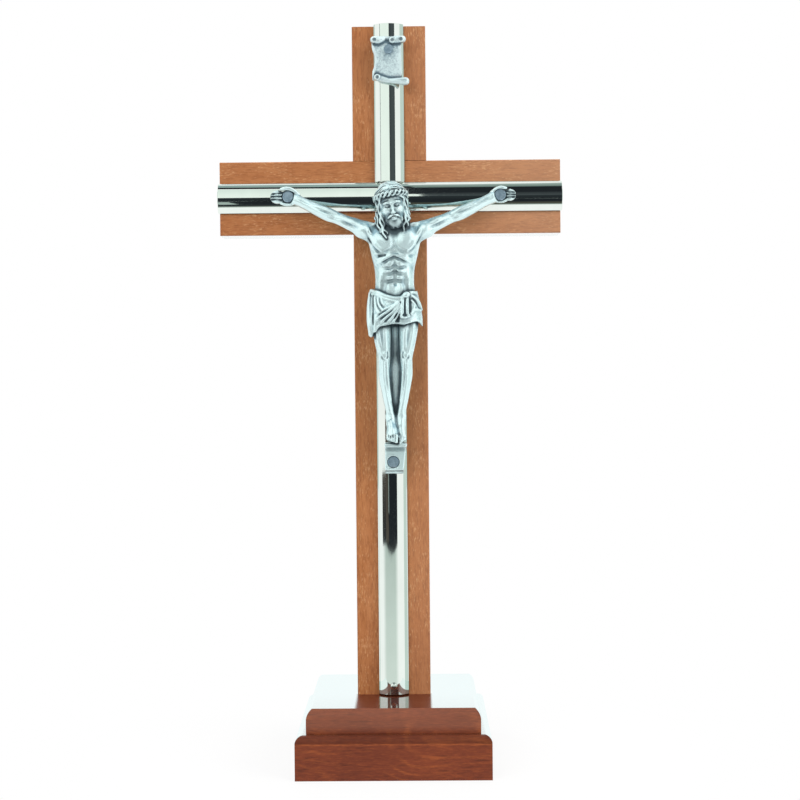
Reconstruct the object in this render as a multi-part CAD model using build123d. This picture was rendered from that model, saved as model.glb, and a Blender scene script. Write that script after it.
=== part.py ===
from build123d import *
import math
import os

# A standing crucifix: two wooden beams lapped into a cross, on a moulded wooden base.
# Domed metal strips lie in grooves along the beams, and a cast figure and a cast scroll
# are pinned over them. Millimetres, +Z up, the front faces -Y, the origin is under the
# middle of the base.

# Fits shared by all pieces
cut_overrun = 1.0  # how far a cut runs past the faces that it opens
pin_clearance = 0.05  # radial gap between a pin or screw and its hole
groove_clearance = 0.05  # gap on each side of a strip in its groove
seat_gap = 0.05  # gap between a domed strip and what is pinned over it
strip_gap = 0.1  # gap where one strip butts against another
head_clearance = 0.3  # radial gap between a pin's head and its recess

# Base block, moulded alike on its four sides
base_width = 51.5
base_depth = 51.5
plinth_face_height = 9.6
plinth_round_radius = 2.0
ledge_width = 0.8
step_face_height = 3.5
step_round_height = 2.9
step_round_inset = 1.5
base_height = plinth_face_height + plinth_round_radius + step_face_height + step_round_height

# Beams of the cross
beam_width = 20.0
beam_thickness = 10.0
upright_height = 182.0
short_arm_length = 36.3
beam_arris_radius = 0.4
crossbar_length = 2 * short_arm_length + beam_width
crossing_z = base_height + upright_height - short_arm_length - beam_width / 2
beam_top_z = base_height + upright_height
beam_front_y = -beam_thickness / 2

# Domed metal strips and their grooves
strip_width = 8.0
strip_wall = 0.4
strip_side_height = 1.6
strip_crown_rise = 1.8
strip_overhang = 0.4  # how far a strip's free end stands past the wood
groove_depth = 0.8
groove_floor_y = beam_front_y + groove_depth
crown_y = groove_floor_y - strip_side_height - strip_crown_rise
strip_foot_gap = 0.3  # gap between the lower strip and the base

# Flat-headed pins through the hands, the foot plate and the scroll
pin_head_diameter = 3.0
pin_head_height = 0.8
pin_head_bevel = 0.2
pin_shank_diameter = 1.3
pin_depth_in_wood = 5.0
scroll_pin_head_diameter = 2.4
brad_head_diameter = 1.8
brad_head_height = 0.6
brad_shank_diameter = 0.9
brad_depth_in_wood = 1.8  # short, so that its point stays clear of the base's screw
brad_height_above_end = 2.5

# Countersunk screw that holds the cross on the base
screw_diameter = 3.5
screw_length = 34.0
screw_head_diameter = 7.0
screw_head_height = 2.2
screw_head_recess = 1.0
screw_point_length = 4.0
screw_slot_width = 0.9
screw_slot_depth = 1.0

# Scroll above the figure
scroll_height = 13.5
scroll_panel_width = 8.2
scroll_panel_thickness = 1.3
scroll_waist_inset = 0.9
scroll_field_depth = 0.25
scroll_border_width = 0.7
scroll_roll_diameter = 2.5
scroll_top_roll_length = 9.9
scroll_low_roll_length = 10.1
scroll_low_roll_shift = 0.75
scroll_curl_diameter = 1.1
scroll_curl_depth = 0.8
scroll_centre_below_top = 10.0
scroll_centre_z = beam_top_z - scroll_centre_below_top
scroll_pin_z = scroll_centre_z + scroll_height / 2 - scroll_roll_diameter - scroll_pin_head_diameter / 2

# Cast figure. Its shares are of the figure's height, from the crown to the foot plate's lower end.
# Heights are taken from the crossing's middle, and depths from the strips' crowns to the front.
figure_height = 78.4
figure_side_offset = 1.2  # the figure is pinned a little to the viewer's right
plate_side_offset = 0.4  # and its foot plate nearly in the middle
hand_reach_length = 28.6  # from the figure's middle to each hand's pin
limb_sides = 10
trunk_sides = 20
egg_latitudes = (-80, -50, -20, 20, 50, 80)  # degrees
palm_thickness = 1.7
palm_half_length = 2.9
palm_half_width = 2.45
palm_recess_depth = 0.8
plate_thickness = 2.0
plate_recess_depth = 0.6
plate_pin_share = -0.9145

# Torso: height, half width, middle's depth, half depth
torso_shares = (
    (-0.350, 0.074, 0.052, 0.046),
    (-0.295, 0.063, 0.051, 0.041),
    (-0.255, 0.068, 0.053, 0.044),
    (-0.215, 0.079, 0.055, 0.050),
    (-0.170, 0.094, 0.056, 0.053),
    (-0.125, 0.098, 0.051, 0.044),
    (-0.098, 0.060, 0.047, 0.030),
)
# Cloth round the hips: height, half width, middle's depth, half depth, depth of its pleats
cloth_shares = (
    (-0.325, 0.079, 0.053, 0.050, 0.003),
    (-0.360, 0.087, 0.056, 0.056, 0.005),
    (-0.405, 0.095, 0.058, 0.059, 0.006),
    (-0.442, 0.097, 0.059, 0.058, 0.008),
)
# One arm: share of the way from the middle to the hand's pin, then depth, height, radius across, radius deep
arm_shares = (
    (0.150, 0.048, -0.138, 0.036, 0.034),
    (0.264, 0.045, -0.117, 0.031, 0.029),
    (0.367, 0.038, -0.099, 0.0245, 0.024),
    (0.538, 0.031, -0.075, 0.0200, 0.019),
    (0.697, 0.026, -0.049, 0.0195, 0.018),
    (0.858, 0.019, -0.019, 0.0150, 0.014),
    (0.940, 0.012, -0.006, 0.0150, 0.011),
)
# One leg from the hip to the ankle: sideways, depth, height, radius across, radius deep
leg_shares = (
    (0.046, 0.056, -0.385, 0.040, 0.038),
    (0.046, 0.064, -0.462, 0.032, 0.031),
    (0.037, 0.073, -0.551, 0.0240, 0.0235),
    (0.040, 0.062, -0.620, 0.0225, 0.0220),
    (0.029, 0.052, -0.705, 0.0165, 0.0160),
    (0.021, 0.047, -0.765, 0.0145, 0.0140),
)
# One foot from the ankle to the toes: sideways, depth, height, radius across, radius deep
foot_shares = (
    (0.021, 0.046, -0.745, 0.0160, 0.0150),
    (0.021, 0.058, -0.785, 0.0190, 0.0150),
    (0.021, 0.073, -0.820, 0.0240, 0.0125),
    (0.021, 0.084, -0.845, 0.0220, 0.0090),
)
# Round forms: sideways, depth, height, then half width, half depth, half height
chest_shares = (0.040, 0.083, -0.165, 0.044, 0.022, 0.030)
skull_shares = (-0.005, 0.080, -0.045, 0.046, 0.050, 0.060)
hair_shares = (-0.010, 0.062, -0.030, 0.062, 0.055, 0.073)
beard_shares = (0.006, 0.100, -0.095, 0.031, 0.027, 0.034)
head_tilt = 9.0  # degrees, the crown leans to the viewer's left
# Crown of thorns: sideways, depth, height of its middle, ring radius, half of its section
thorn_shares = (-0.011, 0.068, 0.000, 0.057, 0.009)
# Locks of hair that fall on the shoulders: sideways, depth, height, radius across, radius deep
lock_shares = (
    (0.052, 0.070, -0.040, 0.0140, 0.0135),
    (0.055, 0.074, -0.090, 0.0135, 0.0130),
    (0.051, 0.084, -0.130, 0.0100, 0.0095),
    (0.046, 0.094, -0.165, 0.0060, 0.0055),
)
neck_shares = (
    (0.000, 0.050, -0.135, 0.031, 0.029),
    (0.000, 0.066, -0.080, 0.029, 0.028),
)
# Fingers of one hand: place across the palm and length, as shares of the palm's half width and half length
finger_shares = ((0.66, 0.62), (0.22, 0.80), (-0.22, 0.78), (-0.66, 0.58))
finger_radius_share = 0.22
finger_taper = 2.0  # degrees
# Foot plate and the ledge under the feet: half widths and heights
plate_top_half_width_share = 0.038
plate_foot_half_width_share = 0.031
plate_top_share = -0.846
ledge_top_share = -0.844
ledge_thickness_share = 0.018
ledge_reach_share = 0.088
# Folds over the cloth, from the left hip to the knot: sideways, depth and height at both ends, then radius
fold_shares = (
    (-0.070, 0.082, -0.330, 0.030, 0.116, -0.352, 0.0080),
    (-0.064, 0.094, -0.372, 0.026, 0.118, -0.362, 0.0070),
    (-0.050, 0.104, -0.405, 0.024, 0.119, -0.372, 0.0070),
    (-0.026, 0.112, -0.428, 0.022, 0.119, -0.382, 0.0070),
)
# The cloth's end that hangs from the knot, and the flap at the left hip
tail_shares = (
    (0.034, 0.104, -0.336, 0.0140, 0.0120),
    (0.036, 0.112, -0.372, 0.0150, 0.0110),
    (0.038, 0.108, -0.425, 0.0190, 0.0100),
)
flap_shares = (
    (-0.078, 0.060, -0.350, 0.022, 0.020),
    (-0.083, 0.062, -0.420, 0.020, 0.018),
    (-0.074, 0.060, -0.484, 0.009, 0.008),
)

# Places worked out from the sizes above
lower_strip_end_z = base_height + strip_foot_gap
brad_z = lower_strip_end_z + brad_height_above_end
scroll_pin_seat_y = crown_y - seat_gap - scroll_panel_thickness + scroll_field_depth
figure_back_y = crown_y - seat_gap
figure_crown_share = hair_shares[2] + hair_shares[5]
figure_foot_z = crossing_z + (figure_crown_share - 1) * figure_height
foot_pin_z = crossing_z + plate_pin_share * figure_height
hand_pin_seat_y = figure_back_y - palm_thickness + palm_recess_depth
foot_pin_seat_y = figure_back_y - plate_thickness + plate_recess_depth
figure_pins = (
    (figure_side_offset - hand_reach_length, crossing_z, hand_pin_seat_y),
    (figure_side_offset + hand_reach_length, crossing_z, hand_pin_seat_y),
    (plate_side_offset, foot_pin_z, foot_pin_seat_y),
)


def front_cylinder(x, z, radius, near_y, far_y):
    """A cylinder that runs from front to back, from near_y to far_y."""
    plane = Plane(origin=(x, near_y, z), x_dir=(1, 0, 0), z_dir=(0, 1, 0))
    from_near = (Align.CENTER, Align.CENTER, Align.MIN)
    return plane * Cylinder(radius, far_y - near_y, align=from_near)


def moulded_profile(width):
    """Half of the base's moulding is drawn from the bottom to the top, then mirrored."""
    half = width / 2
    round_z = plinth_face_height + plinth_round_radius
    step_half = half - plinth_round_radius - ledge_width
    step_z = round_z + step_face_height
    top_half = step_half - step_round_inset
    side = Polyline((0, 0), (half, 0), (half, plinth_face_height))
    plinth_round = RadiusArc(
        (half, plinth_face_height), (half - plinth_round_radius, round_z), -plinth_round_radius
    )
    ledge = Polyline((half - plinth_round_radius, round_z), (step_half, round_z), (step_half, step_z))
    step_round_radius = (step_round_height**2 + step_round_inset**2) / (2 * step_round_inset)
    step_round = RadiusArc((step_half, step_z), (top_half, base_height), -step_round_radius)
    top = Polyline((top_half, base_height), (0, base_height), (0, 0))
    half_face = make_face([side, plinth_round, ledge, step_round, top])
    return half_face + mirror(half_face, about=Plane.YZ)


def make_base():
    """The same moulding runs along both directions, and meets in mitres at the corners."""
    across = extrude(Plane.XZ * moulded_profile(base_width), amount=base_depth / 2, both=True)
    along = extrude(Plane.YZ * moulded_profile(base_depth), amount=base_width / 2, both=True)
    block = across & along
    hole_radius = screw_diameter / 2 + pin_clearance
    head_radius = screw_head_diameter / 2 + pin_clearance
    from_below = (Align.CENTER, Align.CENTER, Align.MIN)
    block -= Cylinder(hole_radius, base_height + cut_overrun, align=from_below)
    block -= Cylinder(head_radius, screw_head_recess, align=from_below)
    sink = Cone(head_radius, hole_radius, screw_head_height, align=from_below)
    return block - Pos(0, 0, screw_head_recess) * sink


def make_base_screw():
    """A countersunk wood screw, driven from below into the upright's end grain."""
    head_z = screw_head_recess
    shank_z = head_z + screw_head_height
    tip_z = head_z + screw_length
    radius = screw_diameter / 2
    outline = Polyline(
        (0, head_z),
        (screw_head_diameter / 2, head_z),
        (radius, shank_z),
        (radius, tip_z - screw_point_length),
        (0, tip_z),
        close=True,
    )
    screw = revolve(Plane.XZ * make_face(outline), axis=Axis.Z)
    slot_length = screw_head_diameter + cut_overrun
    return screw - Pos(0, 0, head_z) * Box(slot_length, screw_slot_width, 2 * screw_slot_depth)


def round_arrises(beam, axis):
    """Takes the sharpness off a beam's long edges."""
    return fillet(beam.edges().filter_by(axis), beam_arris_radius)


def groove(length):
    """A flat-floored groove in a front face, upright and centred on its middle."""
    width = strip_width + 2 * groove_clearance
    depth = groove_depth + cut_overrun
    return Pos(0, groove_floor_y - depth / 2, 0) * Box(width, depth, length)


def pin_hole(x, z, shank_diameter=pin_shank_diameter, depth=pin_depth_in_wood):
    """A hole for a pin, from in front of what it holds to just past the pin's point."""
    bottom_y = groove_floor_y + depth + pin_clearance
    radius = shank_diameter / 2 + pin_clearance
    thickest = max(palm_thickness, plate_thickness, scroll_roll_diameter)
    return front_cylinder(x, z, radius, figure_back_y - thickest - cut_overrun, bottom_y)


def make_upright():
    """The upright beam, notched in front for the crossbar and grooved for its strips."""
    middle_z = base_height + upright_height / 2
    beam = round_arrises(Box(beam_width, beam_thickness, upright_height), Axis.Z)
    beam = Pos(0, 0, middle_z) * beam
    lap_depth = beam_thickness / 2 + cut_overrun
    lap = Box(beam_width + 2 * cut_overrun, lap_depth, beam_width)
    beam -= Pos(0, -lap_depth / 2, crossing_z) * lap
    beam -= Pos(0, 0, middle_z) * groove(upright_height + 2 * cut_overrun)
    beam -= pin_hole(0, scroll_pin_z)
    beam -= pin_hole(plate_side_offset, foot_pin_z)
    beam -= pin_hole(0, brad_z, brad_shank_diameter, brad_depth_in_wood)
    screw_depth = screw_head_recess + screw_length - base_height + pin_clearance
    from_below = (Align.CENTER, Align.CENTER, Align.MIN)
    pilot = Cylinder(screw_diameter / 2 + pin_clearance, screw_depth, align=from_below)
    return beam - Pos(0, 0, base_height) * pilot


def make_crossbar():
    """The crossbar lies in front of the upright where they are lapped together."""
    beam = round_arrises(Box(crossbar_length, beam_thickness, beam_width), Axis.X)
    lap_depth = beam_thickness / 2 + cut_overrun
    lap = Box(beam_width, lap_depth, beam_width + 2 * cut_overrun)
    beam -= Pos(0, lap_depth / 2, 0) * lap
    beam -= Rot(0, 90, 0) * groove(crossbar_length + 2 * cut_overrun)
    beam -= groove(beam_width + 2 * cut_overrun)
    beam = Pos(0, 0, crossing_z) * beam
    for side in (-1, 1):
        beam -= pin_hole(figure_side_offset + side * hand_reach_length, crossing_z)
    return beam


def strip_section():
    """A thin domed channel: across is X, and the dome rises along Y from the feet at zero."""
    half = strip_width / 2
    inner = half - strip_wall
    crown = strip_side_height + strip_crown_rise
    outer_dome = ThreePointArc((half, strip_side_height), (0, crown), (-half, strip_side_height))
    inner_dome = ThreePointArc(
        (-inner, strip_side_height), (0, crown - strip_wall), (inner, strip_side_height)
    )
    right = Polyline((inner, strip_side_height), (inner, 0), (half, 0), (half, strip_side_height))
    left = Polyline((-half, strip_side_height), (-half, 0), (-inner, 0), (-inner, strip_side_height))
    return make_face([outer_dome, left, inner_dome, right])


def upright_strip(low_z, high_z):
    """A strip along the upright, between two heights."""
    plane = Plane(origin=(0, groove_floor_y, low_z), x_dir=(-1, 0, 0), z_dir=(0, 0, 1))
    return extrude(plane * strip_section(), amount=high_z - low_z)


def make_crossbar_strip():
    """One strip runs the crossbar's whole length, and the upright's strips butt against it."""
    length = crossbar_length + 2 * strip_overhang
    plane = Plane(origin=(-length / 2, groove_floor_y, crossing_z), x_dir=(0, 0, 1), z_dir=(1, 0, 0))
    strip = extrude(plane * strip_section(), amount=length)
    for side in (-1, 1):
        strip -= pin_hole(figure_side_offset + side * hand_reach_length, crossing_z)
    return strip


def make_upper_strip():
    """The strip above the crossing, with the scroll's pin through it."""
    low_z = crossing_z + strip_width / 2 + strip_gap
    strip = upright_strip(low_z, beam_top_z + strip_overhang)
    return strip - pin_hole(0, scroll_pin_z)


def make_lower_strip():
    """The strip below the crossing, with the foot plate's pin and a small brad through it."""
    high_z = crossing_z - strip_width / 2 - strip_gap
    strip = upright_strip(lower_strip_end_z, high_z)
    strip -= pin_hole(plate_side_offset, foot_pin_z)
    return strip - pin_hole(0, brad_z, brad_shank_diameter, brad_depth_in_wood)


def make_pin(
    place, head_diameter, head_height, bevel, shank_diameter=pin_shank_diameter, depth=pin_depth_in_wood
):
    """A pin at x and z whose bevelled head bears on seat_y, with its shank running back into the wood."""
    x, z, seat_y = place
    tip_depth = groove_floor_y + depth - seat_y
    head_radius = head_diameter / 2
    shank_radius = shank_diameter / 2
    outline = Polyline(
        (0, tip_depth),
        (shank_radius, tip_depth),
        (shank_radius, 0),
        (head_radius, 0),
        (head_radius, bevel - head_height),
        (head_radius - bevel, -head_height),
        (0, -head_height),
        close=True,
    )
    solid = revolve(make_face(outline), axis=Axis.Y)
    return Pos(x, seat_y, z) * solid


def make_scroll():
    """A short parchment scroll with a rolled edge at the top and another at the bottom."""
    back_y = crown_y - seat_gap
    roll_radius = scroll_roll_diameter / 2
    panel_half_height = scroll_height / 2 - roll_radius
    half = scroll_panel_width / 2
    waist = half - scroll_waist_inset
    right = Line((half, -panel_half_height), (half, panel_half_height))
    left = ThreePointArc((-half, panel_half_height), (-waist, 0), (-half, -panel_half_height))
    top = Line((half, panel_half_height), (-half, panel_half_height))
    low = Line((-half, -panel_half_height), (half, -panel_half_height))
    outline = make_face([right, top, left, low])
    front = Plane(origin=(0, back_y, scroll_centre_z), x_dir=(1, 0, 0), z_dir=(0, -1, 0))
    scroll = extrude(front * outline, amount=scroll_panel_thickness)
    field = offset(outline, amount=-scroll_border_width, kind=Kind.INTERSECTION)
    field_floor = scroll_panel_thickness - scroll_field_depth
    scroll -= extrude(front.offset(field_floor) * field, amount=scroll_field_depth + cut_overrun)
    rolls = (
        (0, panel_half_height, scroll_top_roll_length),
        (scroll_low_roll_shift, -panel_half_height, scroll_low_roll_length),
    )
    for x, height, length in rolls:
        plane = Plane(
            origin=(x, back_y - roll_radius, scroll_centre_z + height), x_dir=(0, 1, 0), z_dir=(1, 0, 0)
        )
        roll = plane * Cylinder(roll_radius, length)
        roll -= plane.offset(length / 2) * Cylinder(scroll_curl_diameter / 2, 2 * scroll_curl_depth)
        roll -= plane.offset(-length / 2) * Cylinder(scroll_curl_diameter / 2, 2 * scroll_curl_depth)
        scroll += roll
    head_radius = scroll_pin_head_diameter / 2 + head_clearance
    head_y = back_y - scroll_roll_diameter - cut_overrun
    scroll -= front_cylinder(0, scroll_pin_z, head_radius, head_y, scroll_pin_seat_y)
    return scroll - pin_hole(0, scroll_pin_z)


def figure_point(sideways, depth, height):
    """A place on the figure, from shares of its height."""
    return Vector(
        figure_side_offset + sideways * figure_height,
        figure_back_y - depth * figure_height,
        crossing_z + height * figure_height,
    )


def arm_stations():
    """The arm's sections, with their places sideways turned from shares of the reach."""
    reach_share = hand_reach_length / figure_height
    return [(way * reach_share, *rest) for way, *rest in arm_shares]


def facet_ring(across, deep, sides, pleat=0):
    """An elliptical section of flat facets. Pleats move every second corner out, and the others in."""
    corners = []
    for index in range(sides):
        turn = 2 * math.pi * index / sides
        out = pleat if index % 2 else -pleat
        corners.append(((across + out) * math.cos(turn), (deep + out) * math.sin(turn)))
    return make_face(Polyline(*corners, close=True))


def limb(stations, side=1):
    """A tapering form through elliptical sections, each square to the line that they follow."""
    points = [figure_point(side * station[0], station[1], station[2]) for station in stations]
    sections = []
    for index, (*_, across, deep) in enumerate(stations):
        before = points[max(index - 1, 0)]
        after = points[min(index + 1, len(points) - 1)]
        direction = (after - before).normalized()
        across_direction = direction.cross(Vector(0, 1, 0))
        plane = Plane(origin=points[index], x_dir=across_direction, z_dir=direction)
        sections.append(plane * facet_ring(across * figure_height, deep * figure_height, limb_sides))
    return loft(sections)


def trunk(stations):
    """A body form through level sections: height, half width, depth, half depth and any pleats."""
    sections = []
    for height, half_width, depth, half_depth, *pleats in stations:
        plane = Plane(origin=figure_point(0, depth, height), x_dir=(1, 0, 0), z_dir=(0, 0, 1))
        pleat = sum(pleats) * figure_height
        ring = facet_ring(half_width * figure_height, half_depth * figure_height, trunk_sides, pleat)
        sections.append(plane * ring)
    return loft(sections)


def egg(shares, side=1, tilt=0):
    """A round form of level facet rings, which can lean to the viewer's left."""
    sideways, depth, height, half_width, half_depth, half_height = shares
    sections = []
    for latitude in egg_latitudes:
        spread = math.cos(math.radians(latitude)) * figure_height
        lift = math.sin(math.radians(latitude)) * half_height * figure_height
        sections.append(Pos(0, 0, lift) * facet_ring(half_width * spread, half_depth * spread, limb_sides))
    centre = figure_point(side * sideways, depth, height)
    return Pos(*centre) * Rot(0, -tilt, 0) * loft(sections)


def make_thorns():
    """The crown of thorns, a ring with a six-sided section round the brow."""
    ring_radius = thorn_shares[3] * figure_height
    half_section = thorn_shares[4] * figure_height
    section = Pos(ring_radius, 0) * RegularPolygon(half_section, 6)
    ring = revolve(Plane.XZ * section, axis=Axis.Z)
    return Pos(*figure_point(*thorn_shares[:3])) * Rot(0, -head_tilt, 0) * ring


def make_hand(side):
    """An open palm with four fingers, lying on the strip's crown."""
    palm_y = figure_back_y - palm_thickness / 2
    centre = Pos(figure_side_offset + side * hand_reach_length, palm_y, crossing_z)
    palm = Plane.XZ * facet_ring(palm_half_length, palm_half_width, limb_sides)
    hand = centre * extrude(palm, amount=palm_thickness / 2, both=True)
    finger_radius = finger_radius_share * palm_half_width
    for across_share, length_share in finger_shares:
        length = palm_half_length + length_share * palm_half_length
        outward = Plane(origin=(0, 0, across_share * palm_half_width), x_dir=(0, 1, 0), z_dir=(side, 0, 0))
        finger = extrude(outward * RegularPolygon(finger_radius, 6), amount=length, taper=finger_taper)
        hand += centre * finger
    return hand


def make_foot_plate():
    """The plate under the feet, which takes the lower pin, with a ledge that they stand on."""
    top_half = plate_top_half_width_share * figure_height
    foot_half = plate_foot_half_width_share * figure_height
    top_z = crossing_z + plate_top_share * figure_height
    outline = Polyline(
        (plate_side_offset - foot_half, figure_foot_z),
        (plate_side_offset + foot_half, figure_foot_z),
        (figure_side_offset + top_half, top_z),
        (figure_side_offset - top_half, top_z),
        close=True,
   
    )
    front = Plane(origin=(0, figure_back_y, 0), x_dir=(1, 0, 0), z_dir=(0, -1, 0))
    plate = extrude(front * make_face(outline), amount=plate_thickness)
    ledge_thickness = ledge_thickness_share * figure_height
    ledge_z = crossing_z + ledge_top_share * figure_height - ledge_thickness / 2
    reach = ledge_reach_share * figure_height
    ledge = Box(2 * top_half, reach, ledge_thickness)
    return plate + Pos(figure_side_offset, figure_back_y - reach / 2, ledge_z) * ledge


def make_figure():
    """The cast figure: flat at the back, and fused from lofted body, limbs, head and cloth."""
    forms = [trunk(cloth_shares), limb(neck_shares)]
    for side in (-1, 1):
        forms.append(limb(arm_stations(), side))
        forms.append(limb(leg_shares, side))
        forms.append(limb(foot_shares, side))
        forms.append(limb(lock_shares, side))
        forms.append(egg(chest_shares, side))
        forms.append(make_hand(side))
    for *ends, radius in fold_shares:
        stations = [(*end, radius, radius) for end in (ends[:3], ends[3:])]
        forms.append(limb(stations))
    forms.append(limb(tail_shares))
    forms.append(limb(flap_shares))
    forms.append(make_foot_plate())
    forms.append(make_thorns())
    for shares in (skull_shares, hair_shares, beard_shares):
        forms.append(egg(shares, tilt=head_tilt))
    figure = trunk(torso_shares).fuse(*[solid for form in forms for solid in form.solids()])
    behind = Box(2 * figure_height, figure_height, 3 * figure_height)
    figure -= Pos(0, figure_back_y + figure_height / 2, crossing_z) * behind
    recess_radius = pin_head_diameter / 2 + head_clearance
    front_y = figure_back_y - figure_height
    for x, z, seat_y in figure_pins:
        figure -= front_cylinder(x, z, recess_radius, front_y, seat_y)
        figure -= pin_hole(x, z)
    return figure


def make_figure_pin(place):
    """One of the three like pins that hold the figure."""
    return make_pin(place, pin_head_diameter, pin_head_height, pin_head_bevel)


def make_scroll_pin():
    """The smaller pin that holds the scroll."""
    place = (0, scroll_pin_z, scroll_pin_seat_y)
    return make_pin(place, scroll_pin_head_diameter, pin_head_height, pin_head_bevel)


def make_brad():
    """A small brad near the lower strip's end, with its round head on the strip's crown."""
    place = (0, brad_z, crown_y)
    bevel = brad_head_height / 2
    return make_pin(
        place, brad_head_diameter, brad_head_height, bevel, brad_shank_diameter, brad_depth_in_wood
    )


pieces = {
    "base_block": make_base(),
    "base_screw": make_base_screw(),
    "upright": make_upright(),
    "crossbar": make_crossbar(),
    "crossbar_strip": make_crossbar_strip(),
    "upper_strip": make_upper_strip(),
    "lower_strip": make_lower_strip(),
    "lower_strip_brad": make_brad(),
    "corpus": make_figure(),
    "left_hand_pin": make_figure_pin(figure_pins[0]),
    "right_hand_pin": make_figure_pin(figure_pins[1]),
    "foot_pin": make_figure_pin(figure_pins[2]),
    "title_scroll": make_scroll(),
    "scroll_pin": make_scroll_pin(),
}

os.makedirs("parts", exist_ok=True)
for name, piece in pieces.items():
    piece.label = name
    export_step(piece, f"parts/{name}.step")
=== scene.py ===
import itertools
import math

import bmesh
import bpy
import numpy as np
from mathutils import Matrix, Vector


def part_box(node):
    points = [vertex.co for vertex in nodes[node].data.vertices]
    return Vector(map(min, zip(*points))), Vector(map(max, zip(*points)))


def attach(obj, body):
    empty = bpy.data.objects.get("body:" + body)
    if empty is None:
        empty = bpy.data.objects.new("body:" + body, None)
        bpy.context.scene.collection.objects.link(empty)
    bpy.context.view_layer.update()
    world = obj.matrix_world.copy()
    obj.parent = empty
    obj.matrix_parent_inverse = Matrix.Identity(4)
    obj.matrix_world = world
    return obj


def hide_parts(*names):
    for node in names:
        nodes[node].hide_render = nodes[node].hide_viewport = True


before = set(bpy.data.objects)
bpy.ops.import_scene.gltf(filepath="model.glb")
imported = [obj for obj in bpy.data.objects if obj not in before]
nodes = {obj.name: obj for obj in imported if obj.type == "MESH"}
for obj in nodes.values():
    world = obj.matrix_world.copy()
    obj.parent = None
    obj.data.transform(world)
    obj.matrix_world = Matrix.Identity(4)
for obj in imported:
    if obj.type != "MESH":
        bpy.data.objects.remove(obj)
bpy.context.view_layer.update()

mm = 0.001

# Heights on the base: the foot and the top of the plinth's rounded edge, and the top face
plinth_edge = 9.6 * mm
plinth_ledge = 11.6 * mm
base_top = 18.0 * mm
# Across the cross, where a painted sheen on its wood starts and where it is palest
painted_sheen_reach = (-8.0 * mm, 40.0 * mm)

# Camera, in the frame's millimetres and in degrees
camera_place = Vector((6.29, -401.8, 106.7)) * mm
camera_heading = -0.58
camera_pitch = -1.17
camera_roll = -0.50
picture_pixels = 800
focal_pixels = 1455.1
sensor_width = 36.0
camera_clip = 10.0 * mm

# The figure is modelled in shares of its height: this many make the whole of it.
# x runs to the viewer's right from its middle, d forward from its back, z up from the nailed palms.
figure_height_shares = 78.4
figure_top_share = 3.4
figure_box_shares = ((-34.5, -0.9, -76.0), (34.5, 13.6, 4.6))
figure_cell_share = 0.20
far_share = 3.0
margin_share = 2.2
last_cell_share = 1.001
path_steps = 5
# Small values that keep a division from meeting zero
tiny = 1e-9
least_share = 1e-6
opening_reach_shares = (0.3, 0.6, 1.3, 2.2)
bend_reach_shares = (0.5, 1.2)


def srgb(red, green, blue):
    """A screen colour from 0 to 255 as the linear one that shaders take."""
    def linear(value):
        value = value / 255
        return value / 12.92 if value <= 0.04045 else ((value + 0.055) / 1.055) ** 2.4
    return (linear(red), linear(green), linear(blue), 1.0)


# Shader nodes

def new_material(name):
    material = bpy.data.materials.new(name)
    material.use_nodes = True
    tree = material.node_tree
    return material, tree, tree.nodes["Principled BSDF"]


def fill(tree, node, inputs):
    """Sets a node's inputs, each to a plain value or to another node's output."""
    for key, value in inputs.items():
        if isinstance(value, bpy.types.NodeSocket):
            tree.links.new(value, node.inputs[key])
        else:
            node.inputs[key].default_value = value


def add(tree, kind, inputs=None, **settings):
    """A node with its settings and its inputs."""
    made = tree.nodes.new(kind)
    for key, value in settings.items():
        setattr(made, key, value)
    fill(tree, made, inputs or {})
    return made


def show(tree, surface):
    """Makes a shader's output the material's surface."""
    fill(tree, tree.nodes["Material Output"], {"Surface": surface})


def stretched(tree, stretch):
    """Places in the frame, scaled apart along each axis."""
    place = add(tree, "ShaderNodeTexCoord").outputs["Object"]
    return add(tree, "ShaderNodeMapping", {"Vector": place, "Scale": stretch}).outputs["Vector"]


def noise(tree, vector, scale, detail, roughness, waviness=0.0):
    inputs = {"Vector": vector, "Scale": scale, "Detail": detail, "Roughness": roughness,
              "Distortion": waviness}
    return add(tree, "ShaderNodeTexNoise", inputs).outputs["Fac"]


def patterns(tree, table):
    """The noise of each row in a table of patterns."""
    return [noise(tree, stretched(tree, stretch), *settings) for stretch, *settings in table.values()]


def span(tree, value, low, high, to_low=0.0, to_high=1.0):
    """The value carried from one range to another and held inside it."""
    inputs = {"Value": value, "From Min": low, "From Max": high, "To Min": to_low, "To Max": to_high}
    return add(tree, "ShaderNodeMapRange", inputs).outputs["Result"]


def layer(tree, pattern, start, full, cover):
    """How much a layer covers where its pattern starts to show, shows fully, or lies between."""
    return span(tree, pattern, start, full, 0.0, cover)


def sums(tree, operation, first, second):
    return add(tree, "ShaderNodeMath", {0: first, 1: second}, operation=operation).outputs[0]


def parted(tree, vector):
    """A vector's shares along the three axes."""
    return add(tree, "ShaderNodeSeparateXYZ", {0: vector}).outputs


def facing(tree):
    """How far the surface faces along the three axes."""
    return parted(tree, add(tree, "ShaderNodeNewGeometry").outputs["Normal"])


def mixed(tree, share, first, second):
    return add(tree, "ShaderNodeMix", {0: share, 6: first, 7: second}, data_type="RGBA").outputs[2]


def bumped(tree, height, strength, distance, under=None):
    inputs = {"Height": height, "Strength": strength, "Distance": distance}
    if under is not None:
        inputs["Normal"] = under
    return add(tree, "ShaderNodeBump", inputs).outputs["Normal"]


# Materials

# Noise runs from 0 to 1, and most of it lies in this reach
noise_reach = (0.3, 0.7)
gloss_index = 1.45
gloss_slant_reach = (0.05, 0.30)

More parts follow.
